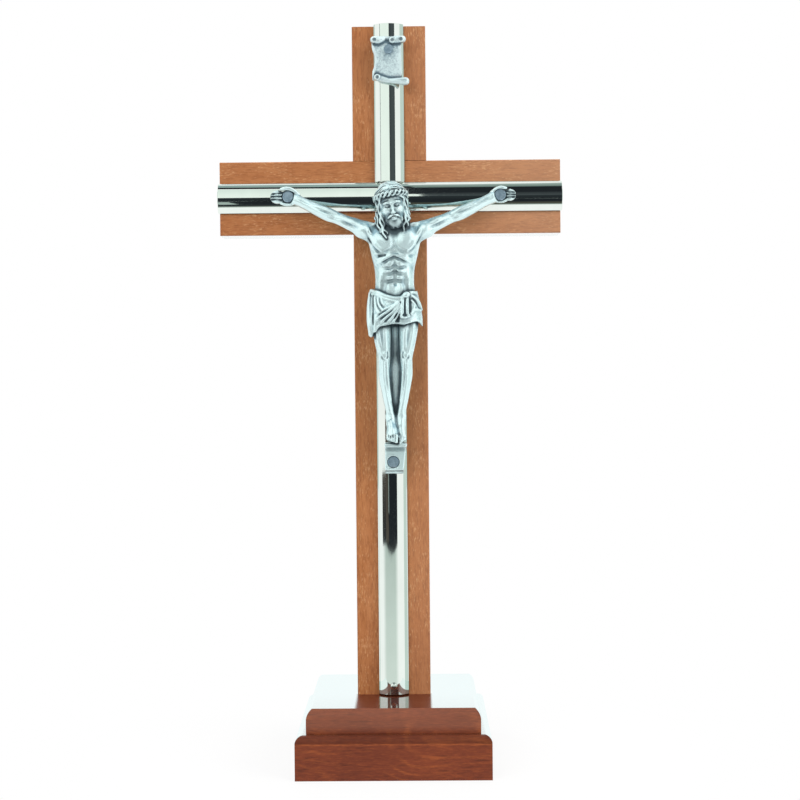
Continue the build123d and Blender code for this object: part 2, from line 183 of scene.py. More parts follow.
# Patterns: how far each is drawn out along the grain, its scale, detail, roughness and waviness
wood_pattern_shares = {
    "clouds": (0.4, 110.0, 4.0, 0.6),
    "bands": (0.10, 420.0, 3.0, 0.6, 0.6),
    "streaks": (0.16, 2500.0, 4.0, 0.6, 0.2),
    "pale_flecks": (0.24, 3000.0, 3.0, 0.6),
    "dark_flecks": (0.16, 3200.0, 2.0, 0.6, 0.2),
    "scatter": (0.6, 200.0, 2.0, 0.6),
}
# Layers: where a pattern starts to show, where it shows fully, and how much it covers there
wood_layer_shares = {
    "bands": (0.35, 0.65, 0.35),
    "deep_streaks": (0.52, 0.30, 0.45),
    "pale_streaks": (0.52, 0.72, 0.45),
    "dark_flecks": (0.58, 0.74, 0.5),
    "pale_flecks": (0.54, 0.70, 0.65),
}
fleck_scatter_shares = (0.35, 0.65, -0.10, 0.05)
painted_sheen_cover_share = 0.24
wood_rough_reach = (0.3, 1.3)
rough_spread = 0.15
wood_specular = 0.2
wood_bump_share = 0.25
wood_bump = 0.03 * mm
# The gloss is stronger on faces that look straight down
wood_gloss_shares = (-0.9, -0.98, 0.75, 0.96)
wood_gloss_tint = srgb(252, 255, 255)
wood_gloss_roughness = 0.22

# Patterns on the base and on the metals: the same, but drawn out along each axis
base_pattern_shares = {
    "bends": ((0.7, 0.7, 1.3), 36.0, 1.5, 0.4),
    "shown": ((0.6, 0.6, 1.0), 60.0, 3.0, 0.6),
    "mottle": ((0.16, 0.6, 1.0), 3000.0, 4.0, 0.7),
    "pores": ((0.08, 0.4, 1.0), 2400.0, 2.0, 0.5, 0.3),
    "clouds": ((0.4, 0.6, 1.0), 90.0, 4.0, 0.6),
}
base_layer_shares = {
    "deep_mottle": (0.52, 0.30, 0.35),
    "pale_mottle": (0.52, 0.72, 0.3),
    "pores": (0.56, 0.74, 0.5),
    "rings": (0.25, 0.5, 0.5),
    "level": (0.9, 0.98, 0.9),
}
# Growth rings: how many to a metre of height, how far they bend, and where they break up and show
rings_per_metre = 380.0
ring_bend_share = 15.0
ring_half_share = 0.5
ring_break_shares = (0.7, 1.2)
ring_shown_shares = (0.46, 0.66)
# Painted sheen: above the plinth's ledge the base is mixed towards a pale tone
painted_step_sheen_rise = 2.0 * mm
painted_step_sheen_cover_share = 0.2
# The plinth's edge: painted shade on its round and a painted highlight line just under it
edge_blur = 0.1 * mm
ledge_blur = 0.2 * mm
edge_shade_share = 0.4
edge_highlight_foot_reach = (-0.6 * mm, -0.15 * mm)
edge_highlight_top_reach = (0.15 * mm, -0.1 * mm)
edge_highlight_shares = (0.35, 0.65, 0.1, 0.6)
base_rough_shares = (0.36, 0.5)
base_specular = 0.25
base_bump_share = 0.14
# The worn patch on the base's top, in front of the cross: its sides, back, edge and bright middle
patch_side_reach = (9.6 * mm, 10.4 * mm)
patch_back_reach = (-5.0 * mm, -4.0 * mm)
patch_depth_reach = (-0.2 * mm, -0.6 * mm)
patch_middle_reach = (3.8 * mm, 4.2 * mm)
patch_gloss_shares = (0.5, 0.06)
base_gloss_share = 0.97
base_gloss_tint = srgb(245, 255, 255)
base_gloss_roughness = 0.03

plate_pattern_shares = {
    "clouds": ((1.0, 1.0, 0.5), 140.0, 3.0, 0.6),
    "lines": ((1.0, 1.0, 0.12), 2400.0, 2.0, 0.5),
}
scratch_reach = (0.70, 0.78)
plate_dim_share = 0.92
plate_cloud_shares = (0.35, 0.7, 0.7)
plate_rough_reach = (0.4, 1.6)
plate_rough_spread = 0.1
scratch_bump_share = 0.08
scratch_bump = 0.01 * mm

cast_pattern_shares = {
    "ripples": ((1.0, 1.0, 0.6), 420.0, 3.0, 0.55),
    "grain": ((1.0, 1.0, 1.0), 3200.0, 2.0, 0.5),
    "blotches": ((1.0, 1.0, 1.0), 1500.0, 2.0, 0.5),
}
# How far each pattern shifts where the cast metal is worn bright or has a painted highlight, and the ripples
# where it is dark with patina or painted shade
grain_shift_share = 0.06
ripple_shift_share = 0.06
blotch_shift_share = 0.05
dark_shift_share = 0.05
# Painted light: faces that look forward get a painted highlight, and those that look up get painted shade
painted_front_light_facing_reach = (-0.7, -0.97)
painted_shade_facing_reach = (0.1, 0.6)
painted_shade_share = 1.4
dark_patina_and_shade_reach = (0.09, 0.40)
cast_rough_spread = 0.2
cast_metallic_share = 0.5
ripple_bump_share = 0.4
ripple_bump = 0.3 * mm
grain_bump = 0.02 * mm

steel_pattern_shares = {
    "clouds": ((1.0, 1.0, 1.0), 900.0, 4.0, 0.6),
    "grit": ((1.0, 1.0, 1.0), 5200.0, 2.0, 0.5),
}
steel_cloud_reach = (0.35, 0.65)
steel_metallic_share = 0.7
grit_bump_share = 0.2


def stretch_along(grain_axis, share):
    """Scales that draw a pattern out along one axis."""
    scales = [1.0, 1.0, 1.0]
    scales[grain_axis] = share
    return scales


def lacquered(tree, shader, strength, tint, roughness):
    """Lays a clear gloss over a shader: faint from straight ahead, a mirror at a low slant."""
    slant = add(tree, "ShaderNodeFresnel", {"IOR": gloss_index}).outputs[0]
    share = sums(tree, "MULTIPLY", span(tree, slant, *gloss_slant_reach), strength)
    gloss = add(tree, "ShaderNodeBsdfGlossy", {"Color": tint, "Roughness": roughness}).outputs[0]
    both = add(tree, "ShaderNodeMixShader", {0: share, 1: shader.outputs[0], 2: gloss}).outputs[0]
    show(tree, both)


def wood(name, grain_axis, tones, roughness):
    """Close-grained hardwood: a cloudy ground with long fine streaks and short pale and dark flecks, and a
    painted sheen that grows towards the viewer's right.
    """
    painted_sheen_tone, fleck, pale, middle, deep = tones
    material, tree, shader = new_material(name)
    along = {key: (stretch_along(grain_axis, share), *settings)
             for key, (share, *settings) in wood_pattern_shares.items()}
    clouds, bands, streaks, pale_flecks, dark_flecks, scatter = patterns(tree, along)
    dark_share = layer(tree, dark_flecks, *wood_layer_shares["dark_flecks"])
    gathered = sums(tree, "ADD", pale_flecks, span(tree, scatter, *fleck_scatter_shares))
    across = parted(tree, add(tree, "ShaderNodeTexCoord").outputs["Object"])["X"]
    colour = mixed(tree, span(tree, clouds, *noise_reach), middle, pale)
    for key, pattern, tone in (("bands", bands, middle), ("deep_streaks", streaks, deep),
                               ("pale_streaks", streaks, pale), ("dark_flecks", dark_flecks, deep),
                               ("pale_flecks", gathered, fleck)):
        colour = mixed(tree, layer(tree, pattern, *wood_layer_shares[key]), colour, tone)
    # Painted sheen: the wood is mixed towards a pale tone towards the viewer's right
    colour = mixed(tree, layer(tree, across, *painted_sheen_reach, painted_sheen_cover_share), colour, painted_sheen_tone)
    uneven = sums(tree, "ADD", dark_share, clouds)
    rough = span(tree, uneven, *wood_rough_reach, roughness, roughness + rough_spread)
    normal = bumped(tree, sums(tree, "SUBTRACT", streaks, dark_share), wood_bump_share, wood_bump)
    fill(tree, shader, {"Base Color": colour, "Roughness": rough, "Normal": normal,
                        "Specular IOR Level": wood_specular})
    strength = span(tree, facing(tree)["Z"], *wood_gloss_shares)
    lacquered(tree, shader, strength, wood_gloss_tint, wood_gloss_roughness)
    return material


def between(tree, value, foot, top):
    """Full between two places where a value passes through a foot and a top, and nothing outside them."""
    return sums(tree, "MULTIPLY", span(tree, value, *foot), span(tree, value, *top))


def worn_gloss(tree, across, forward, up):
    """How glossy the base is: less on the worn patch in front of the cross than elsewhere."""
    off_middle = sums(tree, "ABSOLUTE", across, 0.0)
    below = span(tree, up, *(base_top + depth for depth in patch_depth_reach))
    aside = span(tree, off_middle, *patch_side_reach)
    behind = span(tree, forward, *patch_back_reach)
    kept = sums(tree, "MAXIMUM", below, sums(tree, "MAXIMUM", aside, behind))
    patch = span(tree, off_middle, *patch_middle_reach, *patch_gloss_shares)
    return sums(tree, "MAXIMUM", patch, span(tree, kept, 0.0, 1.0, 0.0, base_gloss_share))


def polished_wood(name, tones):
    """Dark stained block: fine pores and a wavy figure that comes and goes, a painted sheen above the
    plinth's ledge, painted shade on the plinth's round and a painted highlight line just under it.
    """
    painted_step_sheen, line, pale, middle, deep = tones
    material, tree, shader = new_material(name)
    across, forward, up = parted(tree, add(tree, "ShaderNodeTexCoord").outputs["Object"])
    bends, shown, mottle, pores, clouds = patterns(tree, base_pattern_shares)
    pore_share = layer(tree, pores, *base_layer_shares["pores"])
    height = sums(tree, "ADD", sums(tree, "MULTIPLY", up, rings_per_metre),
                  sums(tree, "MULTIPLY", bends, ring_bend_share))
    rings = sums(tree, "PINGPONG", height, ring_half_share)
    broken = sums(tree, "MULTIPLY", rings, span(tree, mottle, *noise_reach, *ring_break_shares))
    ring_share = sums(tree, "MULTIPLY", layer(tree, broken, *base_layer_shares["rings"]),
                      span(tree, shown, *ring_shown_shares))
    # Painted shade on the plinth's round, and a painted highlight line just under it
    rounded = between(tree, up, (plinth_edge - edge_blur, plinth_edge + edge_blur),
                      (plinth_ledge + ledge_blur, plinth_ledge))
    brightened = between(tree, up, [plinth_edge + part for part in edge_highlight_foot_reach],
                     [plinth_edge + part for part in edge_highlight_top_reach])
    colour = mixed(tree, span(tree, clouds, *noise_reach), middle, pale)
    colour = mixed(tree, layer(tree, mottle, *base_layer_shares["deep_mottle"]), colour, deep)
    colour = mixed(tree, layer(tree, mottle, *base_layer_shares["pale_mottle"]), colour, line)
    colour = mixed(tree, pore_share, colour, deep)
    colour = mixed(tree, ring_share, colour, line)
    # Painted sheen above the plinth's ledge
    painted_step_sheen_share = layer(tree, up, plinth_ledge, plinth_ledge + painted_step_sheen_rise, painted_step_sheen_cover_share)
    colour = mixed(tree, painted_step_sheen_share, colour, painted_step_sheen)
    colour = mixed(tree, layer(tree, facing(tree)["Z"], *base_layer_shares["level"]), colour, middle)
    # Painted shade on the round, then the painted highlight line under it
    colour = mixed(tree, sums(tree, "MULTIPLY", rounded, edge_shade_share), colour, deep)
    colour = mixed(tree, sums(tree, "MULTIPLY", brightened, span(tree, mottle, *edge_highlight_shares)), colour, line)
    rough = span(tree, clouds, *noise_reach, *base_rough_shares)
    normal = bumped(tree, sums(tree, "SUBTRACT", mottle, pore_share), base_bump_share, wood_bump)
    fill(tree, shader, {"Base Color": colour, "Roughness": rough, "Normal": normal,
                        "Specular IOR Level": base_specular})
    gloss = worn_gloss(tree, across, forward, up)
    lacquered(tree, shader, gloss, base_gloss_tint, base_gloss_roughness)
    return material


def bright_metal(name, tint, roughness):
    """Polished plate, cloudy here and there, with a scatter of fine scratches."""
    material, tree, shader = new_material(name)
    clouds, lines = patterns(tree, plate_pattern_shares)
    scratch = span(tree, lines, *scratch_reach)
    tint_dark = [channel * plate_dim_share for channel in tint[:3]] + [1.0]
    colour = mixed(tree, layer(tree, clouds, *plate_cloud_shares), tint, tint_dark)
    uneven = sums(tree, "ADD", scratch, clouds)
    rough = span(tree, uneven, *plate_rough_reach, roughness, roughness + plate_rough_spread)
    normal = bumped(tree, scratch, scratch_bump_share, scratch_bump)
    fill(tree, shader, {"Base Color": colour, "Roughness": rough, "Normal": normal,
                        "Metallic": 1.0})
    return material


def cast_metal(name, tones, roughness, brightened_bends, grain_strength, painted_front_light):
    """Silvered casting: worn bright where it stands out, with a painted highlight where it faces forward and
    painted shade where it faces up, dark with the patina and painted shade kept on its corners, dull
    elsewhere.
    """
    bright, dull, dark = tones
    material, tree, shader = new_material(name)
    patina_and_shade, ridge = (add(tree, "ShaderNodeAttribute", attribute_name=key).outputs["Fac"]
                     for key in ("patina_and_shade", "ridge"))
    ripples, grain, blotches = patterns(tree, cast_pattern_shares)
    _, forward, up = facing(tree)

    def shifted(value, pattern, shift):
        return sums(tree, "ADD", value, span(tree, pattern, *noise_reach, -shift, shift))

    brightened = shifted(ridge, grain, grain_shift_share * grain_strength)
    brightened = shifted(brightened, ripples, ripple_shift_share)
    brightened = shifted(brightened, blotches, blotch_shift_share)
    # Painted highlight on faces that look forward, and painted shade on those that look up
    brightened = sums(tree, "ADD", brightened, layer(tree, forward, *painted_front_light_facing_reach, painted_front_light))
    brightened = sums(tree, "SUBTRACT", brightened, layer(tree, up, *painted_shade_facing_reach, painted_shade_share * painted_front_light))
    dark_share = span(tree, shifted(patina_and_shade, ripples, dark_shift_share), *dark_patina_and_shade_reach)
    colour = mixed(tree, span(tree, brightened, *brightened_bends), dull, bright)
    colour = mixed(tree, dark_share, colour, dark)
    rough = span(tree, dark_share, 0.0, 1.0, roughness, roughness + cast_rough_spread)
    waves = bumped(tree, ripples, ripple_bump_share, ripple_bump)
    normal = bumped(tree, grain, grain_strength, grain_bump, waves)
    fill(tree, shader, {"Base Color": colour, "Roughness": rough, "Normal": normal,
                        "Metallic": cast_metallic_share})
    return material


def dull_steel(name, pale, deep, roughness):
    """Small steel fastenings gone dull, cloudy and slightly pitted."""
    material, tree, shader = new_material(name)
    clouds, grit = patterns(tree, steel_pattern_shares)
    colour = mixed(tree, span(tree, clouds, *steel_cloud_reach), pale, deep)
    rough = span(tree, clouds, *noise_reach, roughness, roughness + rough_spread)
    normal = bumped(tree, grit, grit_bump_share, grain_bump)
    fill(tree, shader, {"Base Color": colour, "Roughness": rough, "Normal": normal,
                        "Metallic": steel_metallic_share})
    return material


# Clay: distances to a surface on a regular grid, which forms are joined to and cut from

class Clay:
    def __init__(self, low, high, cell):
        self.low = np.array(low, np.float32)
        self.cell = cell
        counts = np.ceil((np.array(high) - np.array(low)) / cell).astype(int) + 1
        self.field = np.full(counts, far_share, np.float32)

    def window(self, low, high):
        """The grid's cells inside a box, as slices and as the places along each axis."""
        first = np.floor((np.array(low) - self.low) / self.cell).astype(int)
        last = np.ceil((np.array(high) - self.low) / self.cell).astype(int) + 1
        first = np.clip(first, 0, self.field.shape)
        last = np.clip(last, 0, self.field.shape)
        slices = tuple(slice(a, b) for a, b in zip(first, last))
        places = [self.low[i] + self.cell * np.arange(first[i], last[i], dtype=np.float32) for i in range(3)]
        return slices, np.meshgrid(*places, indexing="ij", sparse=True)

    def work(self, form, blend, sign):
        """Adds a form to the clay with a sign of 1, or takes it away with -1, and blends the edge."""
        reach = blend + margin_share
        slices, places = self.window(form.low - reach, form.high + reach)
        block = self.field[slices]
        distance = form.distance(places)
        overlap = np.maximum(blend - np.abs(sign * block - distance), 0) / blend
        block[...] = sign * (np.minimum(sign * block, distance) - overlap * overlap * blend / 4)

    def join(self, form, blend):
        self.work(form, blend, 1)

    def cut(self, form, blend):
        self.work(form, blend, -1)

    def front(self, x, z):
        """How far forward the surface lies at a place across and up."""
        across, up = np.clip(np.rint((np.array((x, z)) - self.low[::2]) / self.cell).astype(int), 0,
                             np.array(self.field.shape)[::2] - 1)
        column = self.field[across, :-1, up]
        inside = np.flatnonzero(column < 0)
        if not len(inside):
            return 0.0
        last = inside[-1]
        share = column[last] / (column[last] - self.field[across, last + 1, up])
        return float(self.low[1] + self.cell * (last + share))

    def sample(self, points):
        """Distances at points, read between the grid's places."""
        place = (points - self.low) / self.cell
        place = np.clip(place, 0, np.array(self.field.shape) - last_cell_share)
        corner = place.astype(int)
        part = place - corner
        total = np.zeros(len(points), np.float32)
        for step in itertools.product((0, 1), repeat=3):
            weight = np.prod(np.where(step, part, 1 - part), axis=1)
            total += weight * self.field[tuple((corner + step).T)]
        return total


class Ball:
    """An ellipsoid, turned by a basis whose columns are its own axes."""

    def __init__(self, centre, radii, basis):
        self.centre = np.array(centre, float)
        self.radii = np.array(radii, float)
        self.basis = np.array(basis, float)
        reach = np.abs(self.basis) @ self.radii
        self.low = self.centre - reach
        self.high = self.centre + reach

    def distance(self, places):
        offset = [place - np.float32(middle) for place, middle in zip(places, self.centre)]
        near = np.float32(0)
        slope = np.float32(0)
        for column, radius in zip(self.basis.T, self.radii):
            along = sum(np.float32(share) * part for share, part in zip(column, offset))
            near = near + (along / np.float32(radius)) ** 2
            slope = slope + (along / np.float32(radius * radius)) ** 2
        near = np.sqrt(near)
        return near * (near - 1) / np.sqrt(slope + np.float32(tiny))


class Tube:
    """A round rod of changing radius along a smooth path, flattened in depth by a share."""

    def __init__(self, stations, flat=1.0, steps=path_steps):
        self.stations = smooth_path(np.array(stations, float), steps)
        self.flat = flat
        radii = self.stations[:, 3:]
        self.low = (self.stations[:, :3] - radii).min(0)
        self.high = (self.stations[:, :3] + radii).max(0)

    def distance(self, places):
        shape = np.broadcast_shapes(*[place.shape for place in places])
        nearest = np.full(shape, far_share, np.float32)
        for start, end in zip(self.stations[:-1], self.stations[1:]):
            reach = max(start[3], end[3]) + margin_share
            slices = []
            for axis, place in enumerate(places):
                line = place.ravel()
                low = min(start[axis], end[axis]) - reach
                high = max(start[axis], end[axis]) + reach
                slices.append(slice(np.searchsorted(line, low), np.searchsorted(line, high)))
            near = [places[axis][tuple(slices[axis] if i == axis else slice(None) for i in range(3))]
                    for axis in range(3)]
            block = nearest[tuple(slices)]
            if block.size:
                np.minimum(block, self.rod(near, start, end), out=block)
        return nearest

    def rod(self, places, start, end):
        scale = np.array((1.0, 1.0 / self.flat, 1.0))
        run = (end[:3] - start[:3]) * scale
        offset = [(place - np.float32(begin)) * np.float32(size)
                  for place, begin, size in zip(places, start, scale)]
        length = float(run @ run) + tiny
        along = sum(np.float32(step / length) * part for step, part in zip(run, offset))
        along = np.clip(along, 0, 1)
        gap = sum((part - np.float32(step) * along) ** 2 for step, part in zip(run, offset))
        return np.sqrt(gap) - (np.float32(start[3]) + along * np.float32(end[3] - start[3]))


class Trunk:
    """A body of level oval sections, from rows of height, half width, depth of middle and half depth."""

    def __init__(self, rows, power, top=None, hem=None):
        self.rows = smooth_path(np.array(sorted(rows), float))
        self.power = power
        self.top = top
        self.hem = hem
        widths = self.rows[:, 1].max()
        self.low = np.array((-widths, 0.0, self.rows[0, 0]))
        self.high = np.array((widths, (self.rows[:, 2] + self.rows[:, 3]).max(), self.rows[-1, 0]))

    def at(self, height):
        return [np.interp(height, self.rows[:, 0], self.rows[:, i]).astype(np.float32) for i in (1, 2, 3)]

    def front(self, x, height):
        """How far forward the body's surface lies."""
        width, middle, depth = self.at(height)
        inside = np.maximum(1 - np.abs(x / width) ** self.power, 0)
        return float(middle + depth * inside ** (1 / self.power))

    def distance(self, places):
        x, d, z = places
        width, middle, depth = self.at(z)
        share = np.abs(x / width) ** self.power + np.abs((d - middle) / depth) ** self.power
        share = np.maximum(share, least_share) ** np.float32(1 / self.power)
        radial = np.sqrt(x * x + (d - middle) ** 2) * (1 - 1 / share)
        gap = np.where(share < 1, np.minimum(radial, (share - 1) * np.minimum(width, depth)), radial)
        top = self.rows[-1, 0] if self.top is None else np.interp(x, *self.top)
        hem = self.rows[0, 0] if self.hem is None else np.interp(x, *self.hem)
        return np.maximum(gap, np.maximum(z - top, hem - z)).astype(np.float32)


class Slab:
    """A block with rounded edges, whose width and front may change from its top to its foot."""

    def __init__(self, top, foot, depths, rounding):
        self.top, self.foot, self.depths, self.rounding = top, foot, depths, rounding
        widest = max(abs(top[0]) + top[1], abs(foot[0]) + foot[1])
        self.low = np.array((-widest, depths[0], foot[2]))
        self.high = np.array((widest, max(depths), top[2]))

    def distance(self, places):
        x, d, z = places
        back, front, front_foot = self.depths[0], self.depths[1], self.depths[-1]
        share = np.clip((z - self.foot[2]) / (self.top[2] - self.foot[2]), 0, 1)
        middle = self.foot[0] + share * (self.top[0] - self.foot[0])
        width = self.foot[1] + share * (self.top[1] - self.foot[1])
        sides = np.abs(x - middle) - width
        front = front_foot + share * (front - front_foot)
        fronts = np.abs(d - (front + back) / 2) - (front - back) / 2
        ends = np.abs(z - (self.top[2] + self.foot[2]) / 2) - (self.top[2] - self.foot[2]) / 2
        gaps = [np.asarray(gap + self.rounding, np.float32) for gap in (sides, fronts, ends)]
        outside = np.sqrt(sum(np.maximum(gap, 0) ** 2 for gap in gaps))
        inside = np.minimum(np.maximum(np.maximum(gaps[0], gaps[1]), gaps[2]), 0)
        return outside + inside - np.float32(self.rounding)


class Disc:
    """A short round bar that runs forward."""

    def __init__(self, middle, radius, depths):
        self.middle, self.radius, self.depths = middle, radius, depths
        self.low = np.array((middle[0] - radius, depths[0], middle[1] - radius))
        self.high = np.array((middle[0] + radius, depths[1], middle[1] + radius))

    def distance(self, places):
        x, d, z = places
        sides = np.sqrt((x - self.middle[0]) ** 2 + (z - self.middle[1]) ** 2) - self.radius
        return np.maximum(sides, np.maximum(self.depths[0] - d, d - self.depths[1])).astype(np.float32)


def smooth_path(stations, steps=path_steps):
    """Rows on a curve through every given row, more of them where there are corners to round."""
    if len(stations) < 3:
        return stations
    ends = np.vstack([2 * stations[0] - stations[1], stations, 2 * stations[-1] - stations[-2]])
    rows = []
    for a, b, c, e in zip(ends[:-3], ends[1:-2], ends[2:-1], ends[3:]):
        for step in range(steps):
            t = step / steps
            rows.append(0.5 * (2 * b + (c - a) * t + (2 * a - 5 * b + 4 * c - e) * t ** 2
                               + (3 * b - a - 3 * c + e) * t ** 3))
    rows.append(stations[-1])
    return np.array(rows)


def skin(clay):
    """Closed faces round the clay: one corner in each grid cell that the surface crosses."""
    inside = clay.field < 0
    steps = list(itertools.product((0, 1), repeat=3))
    sizes = [size - 1 for size in inside.shape]
    filled = np.zeros(sizes, np.uint8)
    for i, j, k in steps:
        filled += inside[i:sizes[0] + i, j:sizes[1] + j, k:sizes[2] + k]
    cells = np.argwhere((filled > 0) & (filled < len(steps)))
    number = np.full(sizes, -1, np.int32)
    number[tuple(cells.T)] = np.arange(len(cells))
    values = np.stack([clay.field[tuple((cells + step).T)] for step in steps], 1)
    total = np.zeros((len(cells), 3), np.float32)
    hits = np.zeros((len(cells), 1), np.float32)
    for a, b in itertools.combinations(range(len(steps)), 2):
        start, end = np.array(steps[a]), np.array(steps[b])
        if np.abs(end - start).sum() != 1:
            continue
        crossed = (values[:, a] < 0) != (values[:, b] < 0)
        share = values[crossed, a] / (values[crossed, a] - values[crossed, b])
        total[crossed] += start + share[:, None] * (end - start)
        hits[crossed] += 1
    corners = clay.low + clay.cell * (cells + total / hits)
    faces = []
    for axis in range(3):
        across, up = (axis + 1) % 3, (axis + 2) % 3
        low = np.take(inside, range(inside.shape[axis] - 1), axis)
        high = np.take(inside, range(1, inside.shape[axis]), axis)
        edges = np.argwhere(low != high)
        ring = []
        for step_across, step_up in ((0, 0), (-1, 0), (-1, -1), (0, -1)):
            cell = edges.copy()
            cell[:, across] += step_across
            cell[:, up] += step_up
            ring.append(number[tuple(cell.T)])
        ring = np.stack(ring, 1)
        outward = low[tuple(edges.T)]
        faces.append(np.where(outward[:, None], ring[:, ::-1], ring))
    return corners, np.vstack(faces)


def hollows_and_ridges(clay, corners):
    """How far each corner lies in a fold, from 0 to 1, and how sharply the surface bends out there."""
    step = clay.cell
    axes = np.eye(3)
    slope = np.stack([clay.sample(corners + step * axis) - clay.sample(corners - step * axis)
                      for axis in axes], 1)
    slope /= np.linalg.norm(slope, axis=1, keepdims=True) + tiny
    closed = np.zeros(len(corners), np.float32)
    for reach in opening_reach_shares:
        closed += 1 - np.clip(clay.sample(corners + reach * slope) / reach, 0, 1)
    bent = np.zeros(len(corners), np.float32)
    for reach in bend_reach_shares:
        for axis in axes:
            bent += (clay.sample(corners + reach * axis) + clay.sample(corners - reach * axis)) / reach
    return closed / len(opening_reach_shares), bent / (2 * len(axes) * len(bend_reach_shares))


def mesh_piece(name, corners, faces, material, values=()):
    """An object from corners in metres, with named values kept on its corners."""
    mesh = bpy.data.meshes.new(name)
    mesh.vertices.add(len(corners))
    mesh.vertices.foreach_set("co", corners.astype(np.float32).ravel())
    mesh.loops.add(faces.size)
    mesh.loops.foreach_set("vertex_index", faces.astype(np.int32).ravel())
    mesh.polygons.add(len(faces))
    mesh.polygons.foreach_set("loop_start", np.arange(0, faces.size, faces.shape[1], dtype=np.int32))
    for key, value in dict(values).items():
        mesh.attributes.new(key, "FLOAT", "POINT").data.foreach_set("value", value.astype(np.float32))
    mesh.update(calc_edges=True)
    mesh.validate()
    mesh.shade_smooth()
    mesh.materials.append(material)
    piece = bpy.data.objects.new(name, mesh)
    bpy.context.scene.collection.objects.link(piece)
    return piece


def cast_piece(name, clay, origin, unit, material, darkening_forms=()):
    """Skins the clay, flat at the back, and puts it in the frame. Near each of its darkening_forms the metal
    is darkened, as patina or as painted shade.
    """
    behind = clay.low[1] + clay.cell * np.arange(clay.field.shape[1], dtype=np.float32)
    np.maximum(clay.field, -behind[None, :, None], out=clay.field)
    corners, faces = skin(clay)
    patina_and_shade, ridge = hollows_and_ridges(clay, corners)
    # Darkening kept on the corners: patina, and painted shade at the figure's throat and knee gap
    for ground, dark, reach in darkening_forms:
        away = ground.distance(corners.T.astype(np.float32))
        patina_and_shade += dark * np.clip(1 - away / reach, 0, 1)
    metres = np.array(origin) + unit * corners * np.array((1, -1, 1))
    return mesh_piece(name, metres, faces, material, {"patina_and_shade": patina_and_shade, "ridge": ridge})


# Modelling with tables of shares: swells and hollows are balls, ridges and grooves are rods

def leaning(degrees):
    """Axes turned about the line of sight, so that the top leans to the viewer's left."""
    turn = math.radians(degrees)
    return np.array(((math.cos(turn), 0, -math.sin(turn)), (0, 1, 0), (math.sin(turn), 0, math.cos(turn))))


def nodding(degrees):
    """Axes turned so that the top comes forward."""
    turn = math.radians(degrees)
    return np.array(((1, 0, 0), (0, math.cos(turn), math.sin(turn)), (0, -math.sin(turn), math.cos(turn))))


def model(clay, table, sides=(1,), origin=(0.0, 0.0, 0.0), basis=np.eye(3)):
    """Works a table of forms into the clay, once for each side that it names."""
    for side in sides:
        mirror = np.array((side, 1, 1))

        def placed(point):
            return np.array(origin) + basis @ (np.array(point) * mirror)

        def rod(stations, flat):
            return Tube([(*placed(row[:3]), row[3]) for row in stations], flat)

        for centre, radii, lean, blend in table.get("swells", ()):
            clay.join(Ball(placed(centre), radii, basis @ leaning(lean * side)), blend)
        for stations, flat, blend in table.get("ridges", ()):
            clay.join(rod(stations, flat), blend)
        for centre, radii, lean, blend in table.get("hollows", ()):
            clay.cut(Ball(placed(centre), radii, basis @ leaning(lean * side)), blend)
        for stations, flat, blend in table.get("grooves", ()):
            clay.cut(rod(stations, flat), blend)


def laid(clay, side, path, radius, lift):
    """A rod along places across and up, lifted so far off the surface, that runs out level at its ends."""
    shares = np.ones(len(path))
    shares[[0, -1]] = 0.0
    lifts = radius * np.sign(lift) + shares * (lift - radius * np.sign(lift))
    return Tube([(side * x, clay.front(side * x, z) + rise, z, radius) for (x, z), rise in zip(path, lifts)])


def draw(clay, raised, sunk, sides=(1,)):
    """Lays rods along the surface, some sunk into it and some standing out of it."""
    for side in sides:
        for path, radius, depth, blend in sunk:
            clay.cut(laid(clay, side, path, radius, radius - depth), blend)
        for path, radius, height, blend in raised:
            clay.join(laid(clay, side, path, radius, height - radius), blend)


# Trunk of the figure

torso_row_shares = (
    (-29.0, 5.9, 4.1, 3.7), (-26.0, 5.5, 4.1, 3.5), (-23.6, 5.05, 4.0, 3.3), (-20.0, 5.35, 4.1, 3.4),
    (-16.9, 6.0, 4.2, 3.6), (-13.6, 6.75, 4.3, 3.7), (-10.6, 7.2, 4.2, 3.3), (-8.4, 5.6, 3.9, 2.7),
    (-7.0, 3.4, 3.8, 2.0))
torso_power_share = 2.3
trunk_blend_share = 0.5
torso_pair_shares = {
    "swells": (
        ((7.9, 3.9, -9.3), (2.7, 2.5, 2.1), -20, 1.6),
        ((3.0, 6.2, -12.4), (3.2, 1.75, 2.7), 18, 1.6),
        ((2.9, 5.2, -16.0), (2.1, 2.5, 2.6), 14, 1.6),
        ((3.3, 4.7, -22.8), (1.3, 2.5, 3.2), 4, 1.4),
        ((1.4, 6.7, -18.5), (1.35, 1.15, 1.3), 0, 0.7),
        ((1.35, 6.7, -20.6), (1.3, 1.15, 0.95), 0, 0.7),
        ((1.3, 6.6, -22.35), (1.3, 1.1, 0.95), 0, 0.7),
        ((1.8, 6.0, -25.4), (1.4, 1.55, 2.2), 0, 1.0),
    ),
}
torso_middle_shares = {
    "hollows": (
        ((0.0, 7.2, -8.4), (1.5, 1.2, 1.0), 0, 0.6),
    ),
}
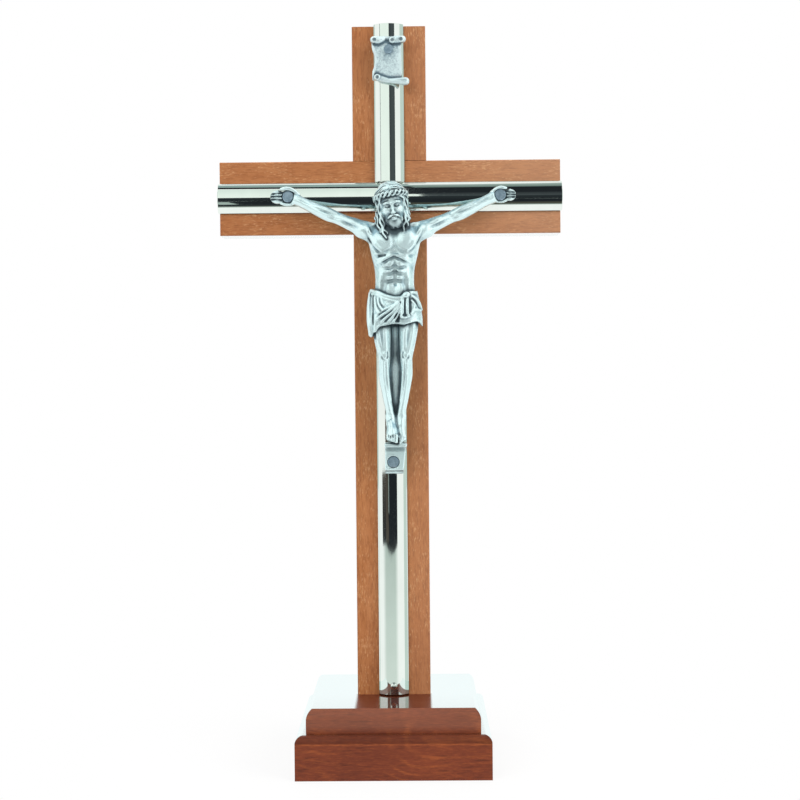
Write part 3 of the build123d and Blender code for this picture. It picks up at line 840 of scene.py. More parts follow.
# Lines on the body: places across and up, the rod's radius, its height or depth, and its blend
torso_raised_shares = (
    (((8.8, -7.2), (7.4, -8.9), (6.2, -11.2), (5.0, -13.4), (3.4, -15.2)), 0.55, 0.3, 0.4),
    (((-0.6, -16.3), (0.1, -16.3), (1.5, -16.75), (2.9, -17.5), (4.3, -18.2)), 0.45, 0.3, 0.25),
    (((0.6, -9.0), (1.6, -8.6), (3.6, -8.2), (6.6, -7.9)), 0.5, 0.22, 0.5),
)
torso_sunk_shares = (
    (((7.6, -9.4), (7.2, -10.6), (6.8, -11.8), (6.2, -13.2)), 0.4, 0.3, 0.4),
    (((0.5, -14.3), (1.6, -15.2), (3.2, -15.7), (4.8, -15.2), (5.8, -14.2)), 0.5, 0.22, 0.4),
    (((-0.2, -17.0), (0.6, -17.2), (1.7, -17.6), (2.8, -18.3), (3.6, -18.9)), 0.5, 0.17, 0.4),
    (((2.9, -22.6), (2.8, -23.8), (3.2, -26.2)), 0.6, 0.14, 0.8),
    (((3.8, -16.3), (4.6, -16.7), (5.4, -16.6)), 0.4, 0.14, 0.5),
)
torso_middle_sunk_shares = (
    (((0.0, -9.8), (0.0, -11.6), (0.1, -13.6), (0.1, -15.6)), 0.8, 0.1, 0.8),
    (((0.0, -16.6), (0.05, -18.4), (0.1, -20.6), (0.05, -23.6)), 0.4, 0.15, 0.3),
    (((-2.9, -19.7), (-1.2, -19.9), (0.0, -19.3), (1.2, -19.8), (3.0, -19.5)), 0.4, 0.16, 0.3),
    (((-2.9, -21.5), (-1.2, -21.4), (0.1, -20.9), (1.3, -21.35), (2.9, -21.4)), 0.4, 0.14, 0.3),
    (((-3.9, -23.6), (-1.7, -23.4), (0.0, -23.2), (1.6, -23.3), (3.3, -23.2)), 0.4, 0.15, 0.3),
    (((0.1, -23.8), (0.1, -24.1), (0.1, -24.4)), 0.4, 0.2, 0.35),
    (((-4.1, -16.6), (-3.7, -16.55), (-3.3, -16.5), (-2.9, -16.45), (-2.5, -16.35)), 0.3, 0.3, 0.12),
)


def shape_torso(clay):
    clay.join(Trunk(torso_row_shares, torso_power_share), trunk_blend_share)
    model(clay, torso_pair_shares, (-1, 1))
    model(clay, torso_middle_shares)
    draw(clay, torso_raised_shares, torso_sunk_shares, (-1, 1))
    draw(clay, (), torso_middle_sunk_shares)


# Arms and hands

arm_shares = {
    "ridges": (
        (((6.4, 4.1, -10.2, 2.3), (8.2, 4.0, -9.3, 2.25), (10.4, 3.6, -8.1, 1.95), (13.0, 3.2, -7.0, 1.68),
          (15.4, 2.8, -5.9, 1.6), (17.6, 2.5, -5.0, 1.82), (19.9, 2.2, -3.95, 1.7), (22.4, 1.8, -2.75, 1.5),
          (24.6, 1.4, -1.65, 1.42), (26.6, 1.0, -0.65, 1.55)), 0.95, 0.9),
        (((9.0, 5.4, -8.4, 0.5), (11.6, 4.9, -7.2, 0.75), (14.4, 3.9, -6.0, 0.5)), 1.0, 0.6),
        (((9.4, 4.6, -9.9, 0.5), (12.0, 3.9, -8.4, 0.65), (14.8, 3.3, -6.9, 0.4)), 1.0, 0.6),
        (((15.2, 3.6, -6.3, 0.4), (17.6, 3.6, -5.3, 0.6), (20.5, 2.9, -4.1, 0.4)), 1.0, 0.45),
        (((15.8, 3.7, -4.9, 0.4), (18.2, 3.5, -3.9, 0.55), (21.4, 2.8, -2.6, 0.4)), 1.0, 0.45),
        (((22.0, 2.8, -2.9, 0.28), (24.4, 2.4, -1.7, 0.28), (26.2, 2.1, -0.7, 0.3)), 1.0, 0.25),
        (((22.2, 2.6, -2.1, 0.26), (24.4, 2.3, -1.1, 0.26), (26.2, 2.0, -0.1, 0.3)), 1.0, 0.25),
    ),
}

arm_sunk_shares = (
    (((9.4, -9.2), (11.0, -8.5), (12.8, -7.7), (14.6, -6.8)), 0.4, 0.16, 0.35),
    (((15.8, -5.5), (17.6, -4.7), (19.6, -3.9), (22.0, -2.9)), 0.34, 0.2, 0.25),
    (((14.9, -6.9), (16.2, -6.4), (17.6, -5.9)), 0.3, 0.14, 0.25),
    (((22.2, -2.4), (23.6, -1.7), (25.0, -1.0), (26.2, -0.4)), 0.24, 0.16, 0.15),
)
# A hand is given from its pin, outward, forward and up, at the size of the larger one.
hand_pin_share = 28.6
hand_size_shares = {-1: 1.03, 1: 0.9}
hand_ball_shares = (
    ((-0.3, 0.35, -0.05), (2.5, 0.95, 2.15), 0.5),
    ((2.75, 0.8, 0.05), (2.0, 1.0, 1.8), 0.3),
)
hand_rod_shares = (
    ((-2.6, 1.1, 0.7, 0.6), (-1.3, 1.5, 1.75, 0.52), (0.2, 1.75, 2.2, 0.5), (1.7, 1.65, 2.0, 0.42)),
    ((-2.3, 1.0, -1.0, 0.5), (-0.9, 1.1, -1.9, 0.42), (0.7, 1.1, -1.95, 0.42), (1.8, 1.1, -1.6, 0.4)),
)
finger_groove_shares = (
    (((1.5, 0.98), (2.4, 0.95), (3.3, 0.86), (4.2, 0.72)), 0.24, 0.3, 0.06),
    (((1.7, 0.12), (2.5, 0.1), (3.5, 0.08), (4.5, 0.06)), 0.24, 0.3, 0.06),
    (((1.6, -0.76), (2.4, -0.74), (3.3, -0.68), (4.3, -0.58)), 0.24, 0.3, 0.06),
)
palm_recess_radius_share = 1.64
palm_recess_floor_share = 0.85
palm_recess_blend_share = 0.15
recess_front_share = 4.0
hand_rod_blend_share = 0.2


def shape_hand(clay, side):
    """A low palm with a thumb over it, fingers that close to a rounded end, and a seat for the pin."""
    size = hand_size_shares[side]

    def placed(outward, forward, up, radius=0.0):
        return (side * (hand_pin_share + size * outward), forward, size * up, size * radius)

    for centre, radii, blend in hand_ball_shares:
        clay.join(Ball(placed(*centre)[:3], size * np.array(radii), np.eye(3)), blend)
    for stations in hand_rod_shares:
        clay.join(Tube([placed(*station) for station in stations]), hand_rod_blend_share)
    grooves = [([(hand_pin_share + size * outward, size * up) for outward, up in path], *sizes)
               for path, *sizes in finger_groove_shares]
    draw(clay, (), grooves, (side,))
    seat = (side * hand_pin_share, 0.0)
    depths = (palm_recess_floor_share, recess_front_share)
    clay.cut(Disc(seat, palm_recess_radius_share, depths), palm_recess_blend_share)


def shape_arms(clay):
    model(clay, arm_shares, (-1, 1))
    draw(clay, (), arm_sunk_shares, (-1, 1))
    for side in hand_size_shares:
        shape_hand(clay, side)


# Legs and feet

leg_shares = {
    "ridges": (
        (((3.3, 4.4, -29.0, 3.0), (3.6, 4.8, -33.0, 2.8), (3.55, 5.0, -36.2, 2.5), (3.2, 5.4, -40.0, 2.15),
          (2.9, 5.6, -43.2, 1.75), (2.95, 5.3, -46.0, 1.45), (2.9, 5.0, -48.8, 1.38), (2.4, 4.5, -53.6, 1.2),
          (1.75, 4.2, -57.0, 1.15), (1.4, 4.0, -59.4, 1.25), (1.35, 4.3, -61.4, 1.2)), 1.0, 0.7),
        (((3.8, 5.2, -45.0, 0.5), (3.7, 4.9, -48.2, 0.7), (3.0, 4.5, -52.0, 0.5)), 1.0, 0.8),
    ),
    "swells": (
        ((2.85, 6.6, -42.9), (1.15, 0.9, 1.35), 0, 0.8),
        ((2.5, 5.6, -36.6), (1.2, 1.75, 5.4), -3, 0.5),
        ((2.2, 4.3, -59.3), (0.5, 0.6, 0.6), 0, 0.4),
    ),
}
leg_raised_shares = (
    (((4.9, -34.6), (4.7, -36.6), (4.2, -39.2), (3.6, -41.8)), 0.6, 0.26, 0.4),
    (((2.9, -34.6), (2.7, -37.0), (2.6, -39.4), (2.6, -41.6)), 0.6, 0.26, 0.4),
    (((3.1, -44.4), (3.1, -46.6), (2.9, -50.0), (2.3, -54.0), (1.6, -58.0)), 0.45, 0.2, 0.3),
    (((2.3, -44.6), (2.2, -47.6), (1.9, -51.0), (1.4, -55.0)), 0.4, 0.14, 0.3),
)
leg_sunk_shares = (
    (((3.8, -34.6), (3.65, -37.0), (3.3, -39.6), (3.0, -41.6)), 0.5, 0.12, 0.5),
    (((2.65, -44.2), (2.6, -47.0), (2.35, -51.0), (1.7, -56.0)), 0.35, 0.16, 0.25),
    (((2.3, -41.7), (1.95, -42.2), (1.85, -42.9), (1.95, -43.5), (2.3, -43.9)), 0.25, 0.22, 0.15),
    (((3.1, -44.1), (3.45, -43.8), (3.7, -43.3), (3.75, -42.6)), 0.25, 0.22, 0.15),
)

leg_web_row_shares = (
    (-66.6, 1.6, 0.0, 3.2), (-60.5, 1.9, 0.0, 3.3), (-52.0, 2.7, 0.0, 4.1), (-46.0, 3.0, 0.0, 4.9),
    (-41.5, 3.2, 0.0, 5.6), (-37.0, 3.6, 0.0, 5.3), (-33.0, 4.0, 0.0, 5.0))
leg_web_power_share = 4.0

front_foot_shares = {
    "ridges": (
        (((-1.35, 4.1, -59.6, 1.25), (-1.2, 4.8, -61.6, 1.3), (-1.05, 5.6, -63.2, 1.5),
          (-1.05, 6.2, -64.6, 1.6)), 0.8, 0.6),
        (((-1.4, 5.7, -60.4, 0.22), (-1.0, 6.5, -62.6, 0.25), (-0.5, 7.2, -64.4, 0.22)), 1.0, 0.3),
        (((-1.9, 5.6, -60.8, 0.2), (-1.7, 6.3, -62.6, 0.22), (-1.5, 6.9, -64.4, 0.2)), 1.0, 0.3),
    ),
}
back_foot_shares = {
    "ridges": (
        (((1.3, 4.0, -59.6, 1.15), (1.3, 4.5, -61.8, 1.15), (1.4, 5.0, -63.6, 1.15), (1.5, 5.3, -64.9, 1.15)),
         0.8, 0.6),
    ),
}
toe_count = 5
front_toe_shares = ((0.15, 7.1, -64.3), (-2.25, 6.6, -64.2))
back_toe_shares = ((0.95, 6.0, -64.6), (2.5, 5.6, -64.5))
front_toe_size_share = 1.0
back_toe_size_share = 0.75
toe_run_shares = (0.0, 0.5, -1.7)
toe_radius_shares = (0.42, 0.3)
toe_shortening_share = 0.3
toe_taper_share = 0.9
toe_blend_share = 0.05
toe_gap_shares = (0.16, 0.34)
toe_gap_blend_share = 0.08


def shape_toes(clay, ends, size):
    """Toes in a row, from the large inner one to the small outer one, and the gaps between them."""
    first, last = np.array(ends[0]), np.array(ends[1])
    run = np.array(toe_run_shares)
    for place in range(toe_count):
        share = place / (toe_count - 1)
        start = first + share * (last - first)
        radius = toe_radius_shares[0] + share * (toe_radius_shares[1] - toe_radius_shares[0])
        tip = start + run * (1 - toe_shortening_share * share)
        clay.join(Tube(((*start, radius * size), (*tip, radius * size * toe_taper_share))), toe_blend_share)
    radius, forward = toe_gap_shares
    for place in range(toe_count - 1):
        share = (place + 0.5) / (toe_count - 1)
        start = first + share * (last - first) + np.array((0.0, forward * size, 0.0))
        clay.cut(Tube(((*start, radius * size), (*(start + run), radius * size))), toe_gap_blend_share)


def shape_legs(clay):
    clay.join(Trunk(leg_web_row_shares, leg_web_power_share), trunk_blend_share)
    model(clay, leg_shares, (-1, 1))
    draw(clay, leg_raised_shares, leg_sunk_shares, (-1, 1))
    model(clay, back_foot_shares)
    shape_toes(clay, back_toe_shares, back_toe_size_share)
    model(clay, front_foot_shares)
    shape_toes(clay, front_toe_shares, front_toe_size_share)


# Foot rest: a ledge and a tapering plate with a sunk seat for its pin

ledge_shares = ((-0.1, 3.0, -66.4), (-0.1, 3.0, -67.5), (0.0, 6.6), 0.25)
ledge_support_shares = ((-1.5, 1.4, -67.9, 1.3), (1.5, 1.4, -67.9, 1.3))
plate_shares = ((-0.15, 2.9, -66.8), (-0.6, 2.5, -74.95), (0.0, 2.9, 1.7), 0.25)
plate_bevel_shares = ((-4.0, 2.0, -75.1, 1.1), (2.4, 2.0, -75.1, 1.1))
ledge_cove_shares = ((-3.4, 3.5, -68.3, 0.9), (3.4, 3.5, -68.3, 0.9))
plate_line_shares = ((-3.4, 1.95, -74.1, 0.3), (1.8, 1.95, -74.1, 0.3))
plate_pin_shares = (-0.8, -71.7)
plate_recess_radius_share = 1.62
plate_recess_floor_share = 1.35
plate_recess_blend_share = 0.2
plate_blend_share = 0.3
plate_edge_blend_share = 0.1


def shape_foot_rest(clay):
    for form in (Slab(*ledge_shares), Tube(ledge_support_shares), Slab(*plate_shares)):
        clay.join(form, plate_blend_share)
    clay.cut(Tube(plate_bevel_shares), plate_edge_blend_share)
    clay.cut(Tube(plate_line_shares), plate_edge_blend_share)
    clay.cut(Tube(ledge_cove_shares), plate_blend_share)
    depths = (plate_recess_floor_share, recess_front_share)
    clay.cut(Disc(plate_pin_shares, plate_recess_radius_share, depths), plate_recess_blend_share)


# Loin cloth: a body with a sloping waist and a hem that dips, dressed with folds

cloth_row_shares = (
    (-40.0, 6.9, 4.6, 4.0), (-37.0, 7.2, 4.6, 4.15), (-34.2, 7.4, 4.6, 4.3), (-31.7, 7.2, 4.55, 4.3),
    (-28.2, 6.55, 4.4, 4.15), (-25.6, 6.0, 4.2, 3.85), (-24.0, 5.5, 4.1, 3.5))
cloth_power_share = 2.4
cloth_blend_share = 0.2
cloth_top_shares = ((-6.5, -5.0, -2.5, 0.0, 2.5, 5.0, 6.5),
                    (-25.2, -25.7, -27.0, -27.6, -27.0, -26.2, -25.3))
cloth_hem_shares = ((-7.6, -6.4, -5.2, -4.2, -2.5, 0.0, 2.4, 4.2, 6.0, 7.6),
                    (-37.4, -38.0, -36.6, -35.2, -34.9, -34.5, -34.7, -34.2, -33.9, -35.3))

# Each fold is a path of places across and up, the rod's radius, how far it stands out and its blend.
fold_shares = (
    # Rolled waist, from the left hip down to the middle and up to the knot
    (((-6.2, -25.6), (-4.6, -26.2), (-2.3, -27.3), (0.2, -27.9), (2.2, -27.7), (3.2, -27.0)),
     0.55, 0.25, 0.2),
    (((-6.0, -26.5), (-4.4, -27.0), (-2.2, -28.1), (0.3, -28.7), (2.0, -28.4)), 0.38, 0.15, 0.2),
    # Folds that run down to the left from the knot
    (((0.9, -28.9), (-1.0, -30.0), (-3.2, -31.0)), 0.32, 0.2, 0.25),
    (((1.1, -29.2), (-0.9, -30.7), (-3.4, -32.3), (-4.6, -33.4)), 0.36, 0.25, 0.25),
    (((1.3, -29.6), (-0.5, -31.5), (-2.7, -33.3), (-3.5, -34.2)), 0.36, 0.25, 0.25),
    (((1.4, -30.2), (-0.1, -32.2), (-1.7, -34.0)), 0.34, 0.25, 0.25),
    (((1.5, -31.0), (0.6, -32.8), (-0.4, -34.2)), 0.3, 0.2, 0.25),
    # Small pleats at the left hip
    (((-3.6, -27.9), (-3.4, -28.8), (-2.7, -29.8)), 0.26, 0.12, 0.25),
    (((-4.5, -27.7), (-4.3, -29.2), (-3.5, -30.6)), 0.3, 0.12, 0.25),
    (((-5.3, -27.5), (-5.1, -29.8), (-4.4, -31.8)), 0.3, 0.12, 0.25),
    # The long fold down the left side
    (((-6.4, -26.4), (-6.8, -30.0), (-6.8, -34.0), (-6.3, -37.4)), 0.7, 0.3, 0.35),
    (((-5.0, -32.4), (-5.1, -34.4), (-5.3, -36.4)), 0.4, 0.15, 0.4),
    # The hanging tail, two rolls side by side with a spreading foot
    (((2.2, -27.4), (2.05, -29.6), (2.0, -31.6), (1.75, -32.7)), 0.48, 0.45, 0.2),
    (((3.3, -27.4), (3.25, -29.6), (3.3, -31.6), (3.6, -32.6)), 0.48, 0.45, 0.2),
    (((1.7, -32.8), (2.7, -33.0), (3.7, -32.6)), 0.3, 0.4, 0.2),
    # Swags from the knot to the right hip
    (((3.7, -26.9), (5.2, -27.6), (6.4, -28.9), (7.0, -30.8)), 0.42, 0.25, 0.25),
    (((4.0, -26.4), (4.9, -26.3), (5.6, -26.4)), 0.42, 0.25, 0.25),
    (((4.3, -28.4), (5.2, -29.4), (5.0, -30.6), (4.3, -31.8)), 0.3, 0.2, 0.25),
    (((4.3, -32.0), (5.4, -30.9), (6.8, -31.0)), 0.3, 0.2, 0.25),
    # Rolled hem
    (((-5.2, -36.5), (-4.2, -35.2), (-2.5, -34.8), (0.0, -34.4), (2.4, -34.6), (4.2, -34.1)),
     0.26, 0.1, 0.2),
    (((4.2, -34.1), (6.0, -33.8), (7.2, -35.0)), 0.26, 0.1, 0.2),
)
# Grooves between the folds: a path, the rod's radius and its blend
cloth_groove_shares = (
    (((-5.75, -27.0), (-5.85, -30.5), (-5.8, -34.6)), 0.22, 0.3),
    (((2.7, -28.2), (2.65, -32.0)), 0.16, 0.2),
    (((1.3, -28.6), (1.2, -32.4)), 0.3, 0.4),
    (((4.1, -28.2), (4.05, -32.0)), 0.24, 0.4),
    (((0.2, -30.3), (-1.8, -32.0), (-3.6, -33.2)), 0.15, 0.3),
    (((0.3, -31.2), (-1.2, -32.8), (-2.6, -34.0)), 0.15, 0.3),
    (((-0.2, -29.9), (-2.4, -31.1), (-4.0, -32.2)), 0.15, 0.3),
    (((-4.9, -27.9), (-4.6, -29.8), (-3.8, -31.2)), 0.12, 0.25),
    (((-4.0, -28.0), (-3.8, -29.2), (-3.0, -30.2)), 0.12, 0.25),
    (((4.7, -28.0), (6.0, -29.4), (6.5, -30.6)), 0.22, 0.3),
    (((0.9, -30.4), (0.7, -32.2), (0.5, -34.0)), 0.6, 0.4),
)
# The knot, and the open mouth of the hanging tail
cloth_ball_shares = {
    "swells": (
        ((3.1, 8.5, -27.0), (1.05, 0.75, 0.8), 20, 0.3),
    ),
    "hollows": (
        ((2.7, 9.1, -32.4), (0.7, 0.6, 0.3), 0, 0.15),
    ),
}
cloth_body = Trunk(cloth_row_shares, cloth_power_share, cloth_top_shares, cloth_hem_shares)


def on_cloth(path, radius, proud):
    """A rod along places across and up that stands so far out of the plain cloth."""
    return Tube([(x, cloth_body.front(x, z) - radius + proud, z, radius) for x, z in path])


def shape_cloth(clay):
    clay.join(cloth_body, cloth_blend_share)
    for path, radius, blend in cloth_groove_shares:
        clay.cut(on_cloth(path, radius, radius), blend)
    for path, radius, proud, blend in fold_shares:
        clay.join(on_cloth(path, radius, proud), blend)
    model(clay, cloth_ball_shares)


# Head: its own frame is u to the viewer's right, v forward, w up, in shares of the figure

head_place_shares = (-0.55, 6.0, -2.75)
head_lean = 9.0
head_nod = 14.0
head_basis = leaning(head_lean) @ nodding(head_nod)

hair_mass_shares = {
    "swells": (
        ((0.0, -0.7, 1.7), (3.8, 3.9, 4.0), 0, 0.3),
        ((-2.6, -0.4, -2.4), (1.2, 2.3, 4.2), 0, 0.8),
        ((2.6, -0.4, -2.4), (1.2, 2.3, 4.2), 0, 0.8),
        ((0.0, -1.2, -3.0), (3.4, 2.2, 4.0), 0, 0.8),
    ),
    "hollows": (
        ((0.0, 4.4, -1.4), (2.7, 3.4, 4.6), 0, 0.5),
    ),
}
skull_shares = {
    "swells": (
        ((0.0, -0.3, 1.3), (3.35, 3.95, 3.9), 0, 0.3),
        ((0.0, 1.1, -1.3), (2.75, 2.75, 3.7), 0, 0.9),
        ((0.0, 1.7, -3.7), (2.0, 2.0, 1.7), 0, 0.8),
    ),
}
neck_shares = {
    "ridges": (
        (((0.0, 3.9, -10.4, 2.5), (-0.1, 4.3, -7.6, 2.1), (-0.3, 5.0, -4.5, 2.2)), 1.0, 0.8),
        (((-0.9, 6.3, -9.1, 0.4), (-1.8, 6.3, -7.2, 0.45), (-2.8, 6.0, -5.0, 0.4)), 1.0, 0.4),
        (((0.9, 6.3, -9.1, 0.4), (1.6, 6.3, -7.2, 0.45), (2.4, 6.0, -5.0, 0.4)), 1.0, 0.4),
    ),
}
eye_socket_shares = {
    "hollows": (
        ((1.2, 4.2, 0.2), (0.95, 0.8, 0.55), -4, 0.5),
        ((2.0, 4.0, -2.2), (0.6, 0.7, 0.9), 10, 0.9),
    ),
}
face_pair_shares = {
    "swells": (
        ((1.7, 2.55, -1.1), (1.0, 0.8, 0.8), -15, 1.0),
        ((1.2, 2.95, 0.05), (0.7, 0.55, 0.42), 0, 0.2),
        ((0.4, 4.0, -1.7), (0.34, 0.42, 0.3), 0, 0.25),
    ),
    "ridges": (
        (((0.42, 3.6, 0.85, 0.26), (1.2, 3.6, 1.1, 0.28), (2.2, 2.95, 0.8, 0.24)), 1.0, 0.5),
    ),
    "grooves": (
        (((0.6, 3.45, -0.05, 0.14), (1.2, 3.55, -0.25, 0.16), (1.85, 3.2, -0.05, 0.14)), 1.0, 0.1),
    ),
}
face_middle_shares = {
    "ridges": (
        (((0.0, 3.55, 0.9, 0.3), (0.0, 4.0, -0.5, 0.32), (0.0, 4.45, -1.5, 0.4)), 1.0, 0.4),
        (((-0.65, 3.75, -2.95, 0.18), (0.0, 4.0, -2.85, 0.22), (0.65, 3.75, -2.95, 0.18)), 1.0, 0.15),
        (((-0.55, 3.75, -3.4, 0.2), (0.0, 4.0, -3.45, 0.26), (0.55, 3.75, -3.4, 0.2)), 1.0, 0.15),
    ),
    "grooves": (
        (((-0.8, 4.0, -3.14, 0.1), (0.0, 4.3, -3.16, 0.12), (0.8, 4.0, -3.14, 0.1)), 1.0, 0.12),
    ),
}

# Waves on hair and beard: how soon they are full, and how deep they are for their width
wave_growth = 3.0
wave_depth_share = 0.5


def waved(points, size, turns, phase):
    """A path of stations with a wave laid on it, growing from its root."""
    rows = smooth_path(np.array(points, float))
    share = np.linspace(0, 1, len(rows))
    swing = size * np.minimum(share * wave_growth, 1) * np.sin(2 * math.pi * turns * share + phase)
    rows[:, 0] += swing
    rows[:, 1] += wave_depth_share * size * np.cos(2 * math.pi * turns * share + phase)
    return rows


def in_head(stations):
    """Stations given in the head's own frame, placed in the figure's."""
    stations = np.array(stations, float)
    places = np.array(head_place_shares) + stations[:, :3] @ head_basis.T
    return np.column_stack([places, stations[:, 3]])


def shape_face(clay):
    model(clay, neck_shares)
    both = (-1, 1)
    for table, sides in ((hair_mass_shares, (1,)), (skull_shares, (1,)), (eye_socket_shares, both),
                         (face_pair_shares, both), (face_middle_shares, (1,))):
        model(clay, table, sides, head_place_shares, head_basis)


beard_strands = 13
beard_middle_shares = (0.0, 2.3, -4.7, 0.0)
beard_radius_shares = (2.0, 1.6, 1.5)
beard_blend_share = 0.4
beard_wave_share = 0.18
beard_wave_turns = 1.4
beard_phase_step = 2.1
beard_strand_blend_share = 0.06
# A strand's root, waist and tip: how far aside an outer one lies, how far the two points are parted, how
# far forward it is and how much less an outer one is, how high, how much more and by which power, its radius
beard_strand_shares = (
    (2.6, 0.0, 3.3, 2.0, -3.9, 2.2, 2, 0.27),
    (2.15, 0.0, 3.5, 1.2, -5.0, 0.7, 1, 0.3),
    (0.95, 0.35, 3.1, 0.0, -6.25, 0.5, 1, 0.17),
)
# A moustache's stations: how far aside, forward and up, how far a lower strand drops, and the radius
moustache_strands = 2
moustache_shares = (
    (0.2, 4.25, -2.2, 0.5, 0.2),
    (0.95, 4.0, -2.4, 1.0, 0.22),
    (1.7, 3.3, -3.0, 1.0, 0.14),
)
moustache_drop_share = 0.24
moustache_blend_share = 0.08


def shape_beard(clay):
    """A short full beard of wavy strands drawn together at two points, and a moustache over it."""
    middle = in_head([beard_middle_shares])[0][:3]
    clay.join(Ball(middle, beard_radius_shares, head_basis), beard_blend_share)
    for place in range(beard_strands):
        share = 2 * place / (beard_strands - 1) - 1
        side = 1 if share >= 0 else -1
        path = [(spread * share + parting * side, forward - back * share * share,
                 up + lift * abs(share) ** power, radius)
                for spread, parting, forward, back, up, lift, power, radius in beard_strand_shares]
        strand = waved(path, beard_wave_share, beard_wave_turns, beard_phase_step * place)
        clay.join(Tube(in_head(strand)), beard_strand_blend_share)
    for side in (-1, 1):
        for place in range(moustache_strands):
            drop = moustache_drop_share * place
            path = [(side * across, forward, up - fall * drop, radius)
                    for across, forward, up, fall, radius in moustache_shares]
            clay.join(Tube(in_head(path)), moustache_blend_share)


# Hair: turns in degrees up from the front along the parting, and round from the front at the sides
hair_strands = 11
cap_middle_shares = (0.0, -0.7, 1.7)
cap_radius_shares = (3.9, 4.1, 4.1)
parting_turns = (24.0, 120.0)
parting_gap_share = 0.06
side_turns = (52.0, 165.0)
side_drop_turn = -8.0
sweep_parts = (0.0, 0.35, 0.7, 1.0)
sweep_lift_shares = (0.0, 0.0, 0.5)
hair_fall_shares = ((-1.2, 0.98), (-3.6, 0.94), (-6.0, 0.82))
strand_radius_share = 0.38
strand_tip_share = 0.3
strand_wave_share = 0.28
strand_wave_turns = 2.4
strand_phase_step = 1.9
strand_blend_share = 0.1


def hair_path(side, share):
    """One strand's stations in the head's frame: from the parting over the side of the head, then down."""
    rise = math.radians(parting_turns[0] + share * (parting_turns[1] - parting_turns[0]))
    aside = math.radians(side_turns[0] + share * (side_turns[1] - side_turns[0]))
    drop = math.radians(side_drop_turn)
    level = math.cos(drop)
    start = np.array((parting_gap_share * side, math.cos(rise), math.sin(rise)))
    end = np.array((side * math.sin(aside) * level, math.cos(aside) * level, math.sin(drop)))
    path = []
    for part in sweep_parts:
        aim = (1 - part) * start + part * end + np.array(sweep_lift_shares) * part * (1 - part)
        aim = aim / np.linalg.norm(aim)
        place = np.array(cap_middle_shares) + aim * np.array(cap_radius_shares)
        path.append((*place, strand_radius_share))
    across, forward = path[-1][:2]
    for height, spread in hair_fall_shares:
        path.append((across * spread, forward * spread, height, strand_radius_share))
    path[-1] = (*path[-1][:3], strand_tip_share)
    return path


def shape_hair(clay):
    """Wavy hair parted in the middle, swept over the sides of the head and long from there down."""
    for side in (-1, 1):
        for place in range(hair_strands):
            path = hair_path(side, place / (hair_strands - 1))
            phase = strand_phase_step * place + side
            strand = waved(path, strand_wave_share, strand_wave_turns, phase)
            clay.join(Tube(in_head(strand)), strand_blend_share)


lock_wave_share = 0.2
lock_wave_turns = 2.2
lock_shares = (
    # Long locks over the left shoulder, shorter ones over the right
    ((-3.6, 6.7, -5.0, 0.34), (-3.5, 7.3, -7.4, 0.36), (-3.1, 8.0, -9.6, 0.34), (-2.2, 8.7, -12.0, 0.2)),
    ((-2.9, 6.9, -5.4, 0.32), (-2.8, 7.3, -7.6, 0.34), (-2.6, 7.9, -9.6, 0.3), (-1.8, 8.4, -10.8, 0.2)),
    ((-4.3, 6.0, -5.2, 0.36), (-4.3, 6.5, -7.4, 0.38), (-3.9, 7.3, -9.2, 0.34), (-3.4, 8.0, -10.4, 0.2)),
    ((-4.7, 5.0, -5.0, 0.38), (-4.8, 5.6, -6.8, 0.36), (-4.7, 6.0, -8.2, 0.22)),
    ((2.9, 6.8, -4.6, 0.34), (3.0, 7.2, -6.6, 0.36), (2.7, 7.5, -8.4, 0.32), (2.4, 7.7, -10.4, 0.2)),
    ((3.5, 6.2, -4.4, 0.36), (3.7, 6.6, -6.4, 0.38), (3.6, 7.0, -8.0, 0.32), (3.3, 7.0, -9.4, 0.2)),
    ((3.8, 5.2, -4.6, 0.38), (4.0, 5.6, -6.2, 0.36), (4.1, 6.0, -7.4, 0.22)),
)


def shape_locks(clay):
    for place, path in enumerate(lock_shares):
        lock = waved(path, lock_wave_share, lock_wave_turns, strand_phase_step * place)
        clay.join(Tube(lock), strand_blend_share)


crown_radius_shares = (4.3, 4.45)
crown_height_share = 2.1
crown_slope_share = -0.34
crown_lean_share = 0.03
crown_back_share = 0.6
crown_rod_share = 0.34
crown_swing_share = 0.52
crown_depth_share = 0.5
crown_steps = 96
braid_strands = 2
braid_twists = 11
thorn_count = 16
thorn_scatter_share = 0.5
thorn_lift_shares = (-0.6, 0.8)
thorn_length_share = 0.7
thorn_radius_shares = (0.26, 0.1)
random_seed = 5


def crown_height(u, v):
    """How high the middle of the crown's braid lies in the head's frame."""
    return crown_height_share - crown_slope_share * v + crown_lean_share * u


def shape_crown(clay):
    """A braided ring of thorn twigs round the head, with thorns set along it."""
    turns = np.linspace(0, 2 * math.pi, crown_steps + 1)
    radii = np.full(len(turns), crown_rod_share)
    for strand in range(braid_strands):
        phase = braid_twists * turns + 2 * math.pi * strand / braid_strands
        swell = crown_swing_share * np.cos(phase)
        u = (crown_radius_shares[0] + crown_depth_share * swell) * np.sin(turns)
        v = (crown_radius_shares[1] + crown_depth_share * swell) * np.cos(turns) - crown_back_share
        w = crown_height(u, v) + crown_swing_share * np.sin(phase)
        clay.join(Tube(in_head(np.column_stack([u, v, w, radii])), steps=1), strand_blend_share)
    draws = np.random.default_rng(random_seed)
    for place in range(thorn_count):
        turn = 2 * math.pi * (place + thorn_scatter_share * draws.random()) / thorn_count
        lift = draws.uniform(*thorn_lift_shares)
        out = np.array((math.sin(turn), math.cos(turn)))
        root = out * np.array(crown_radius_shares)
        tip = out * (np.array(crown_radius_shares) + thorn_length_share)
        height = crown_height(*root)
        path = ((root[0], root[1] - crown_back_share, height, thorn_radius_shares[0]),
                (tip[0], tip[1] - crown_back_share, height + lift, thorn_radius_shares[1]))
        clay.join(Tube(in_head(path)), strand_blend_share)


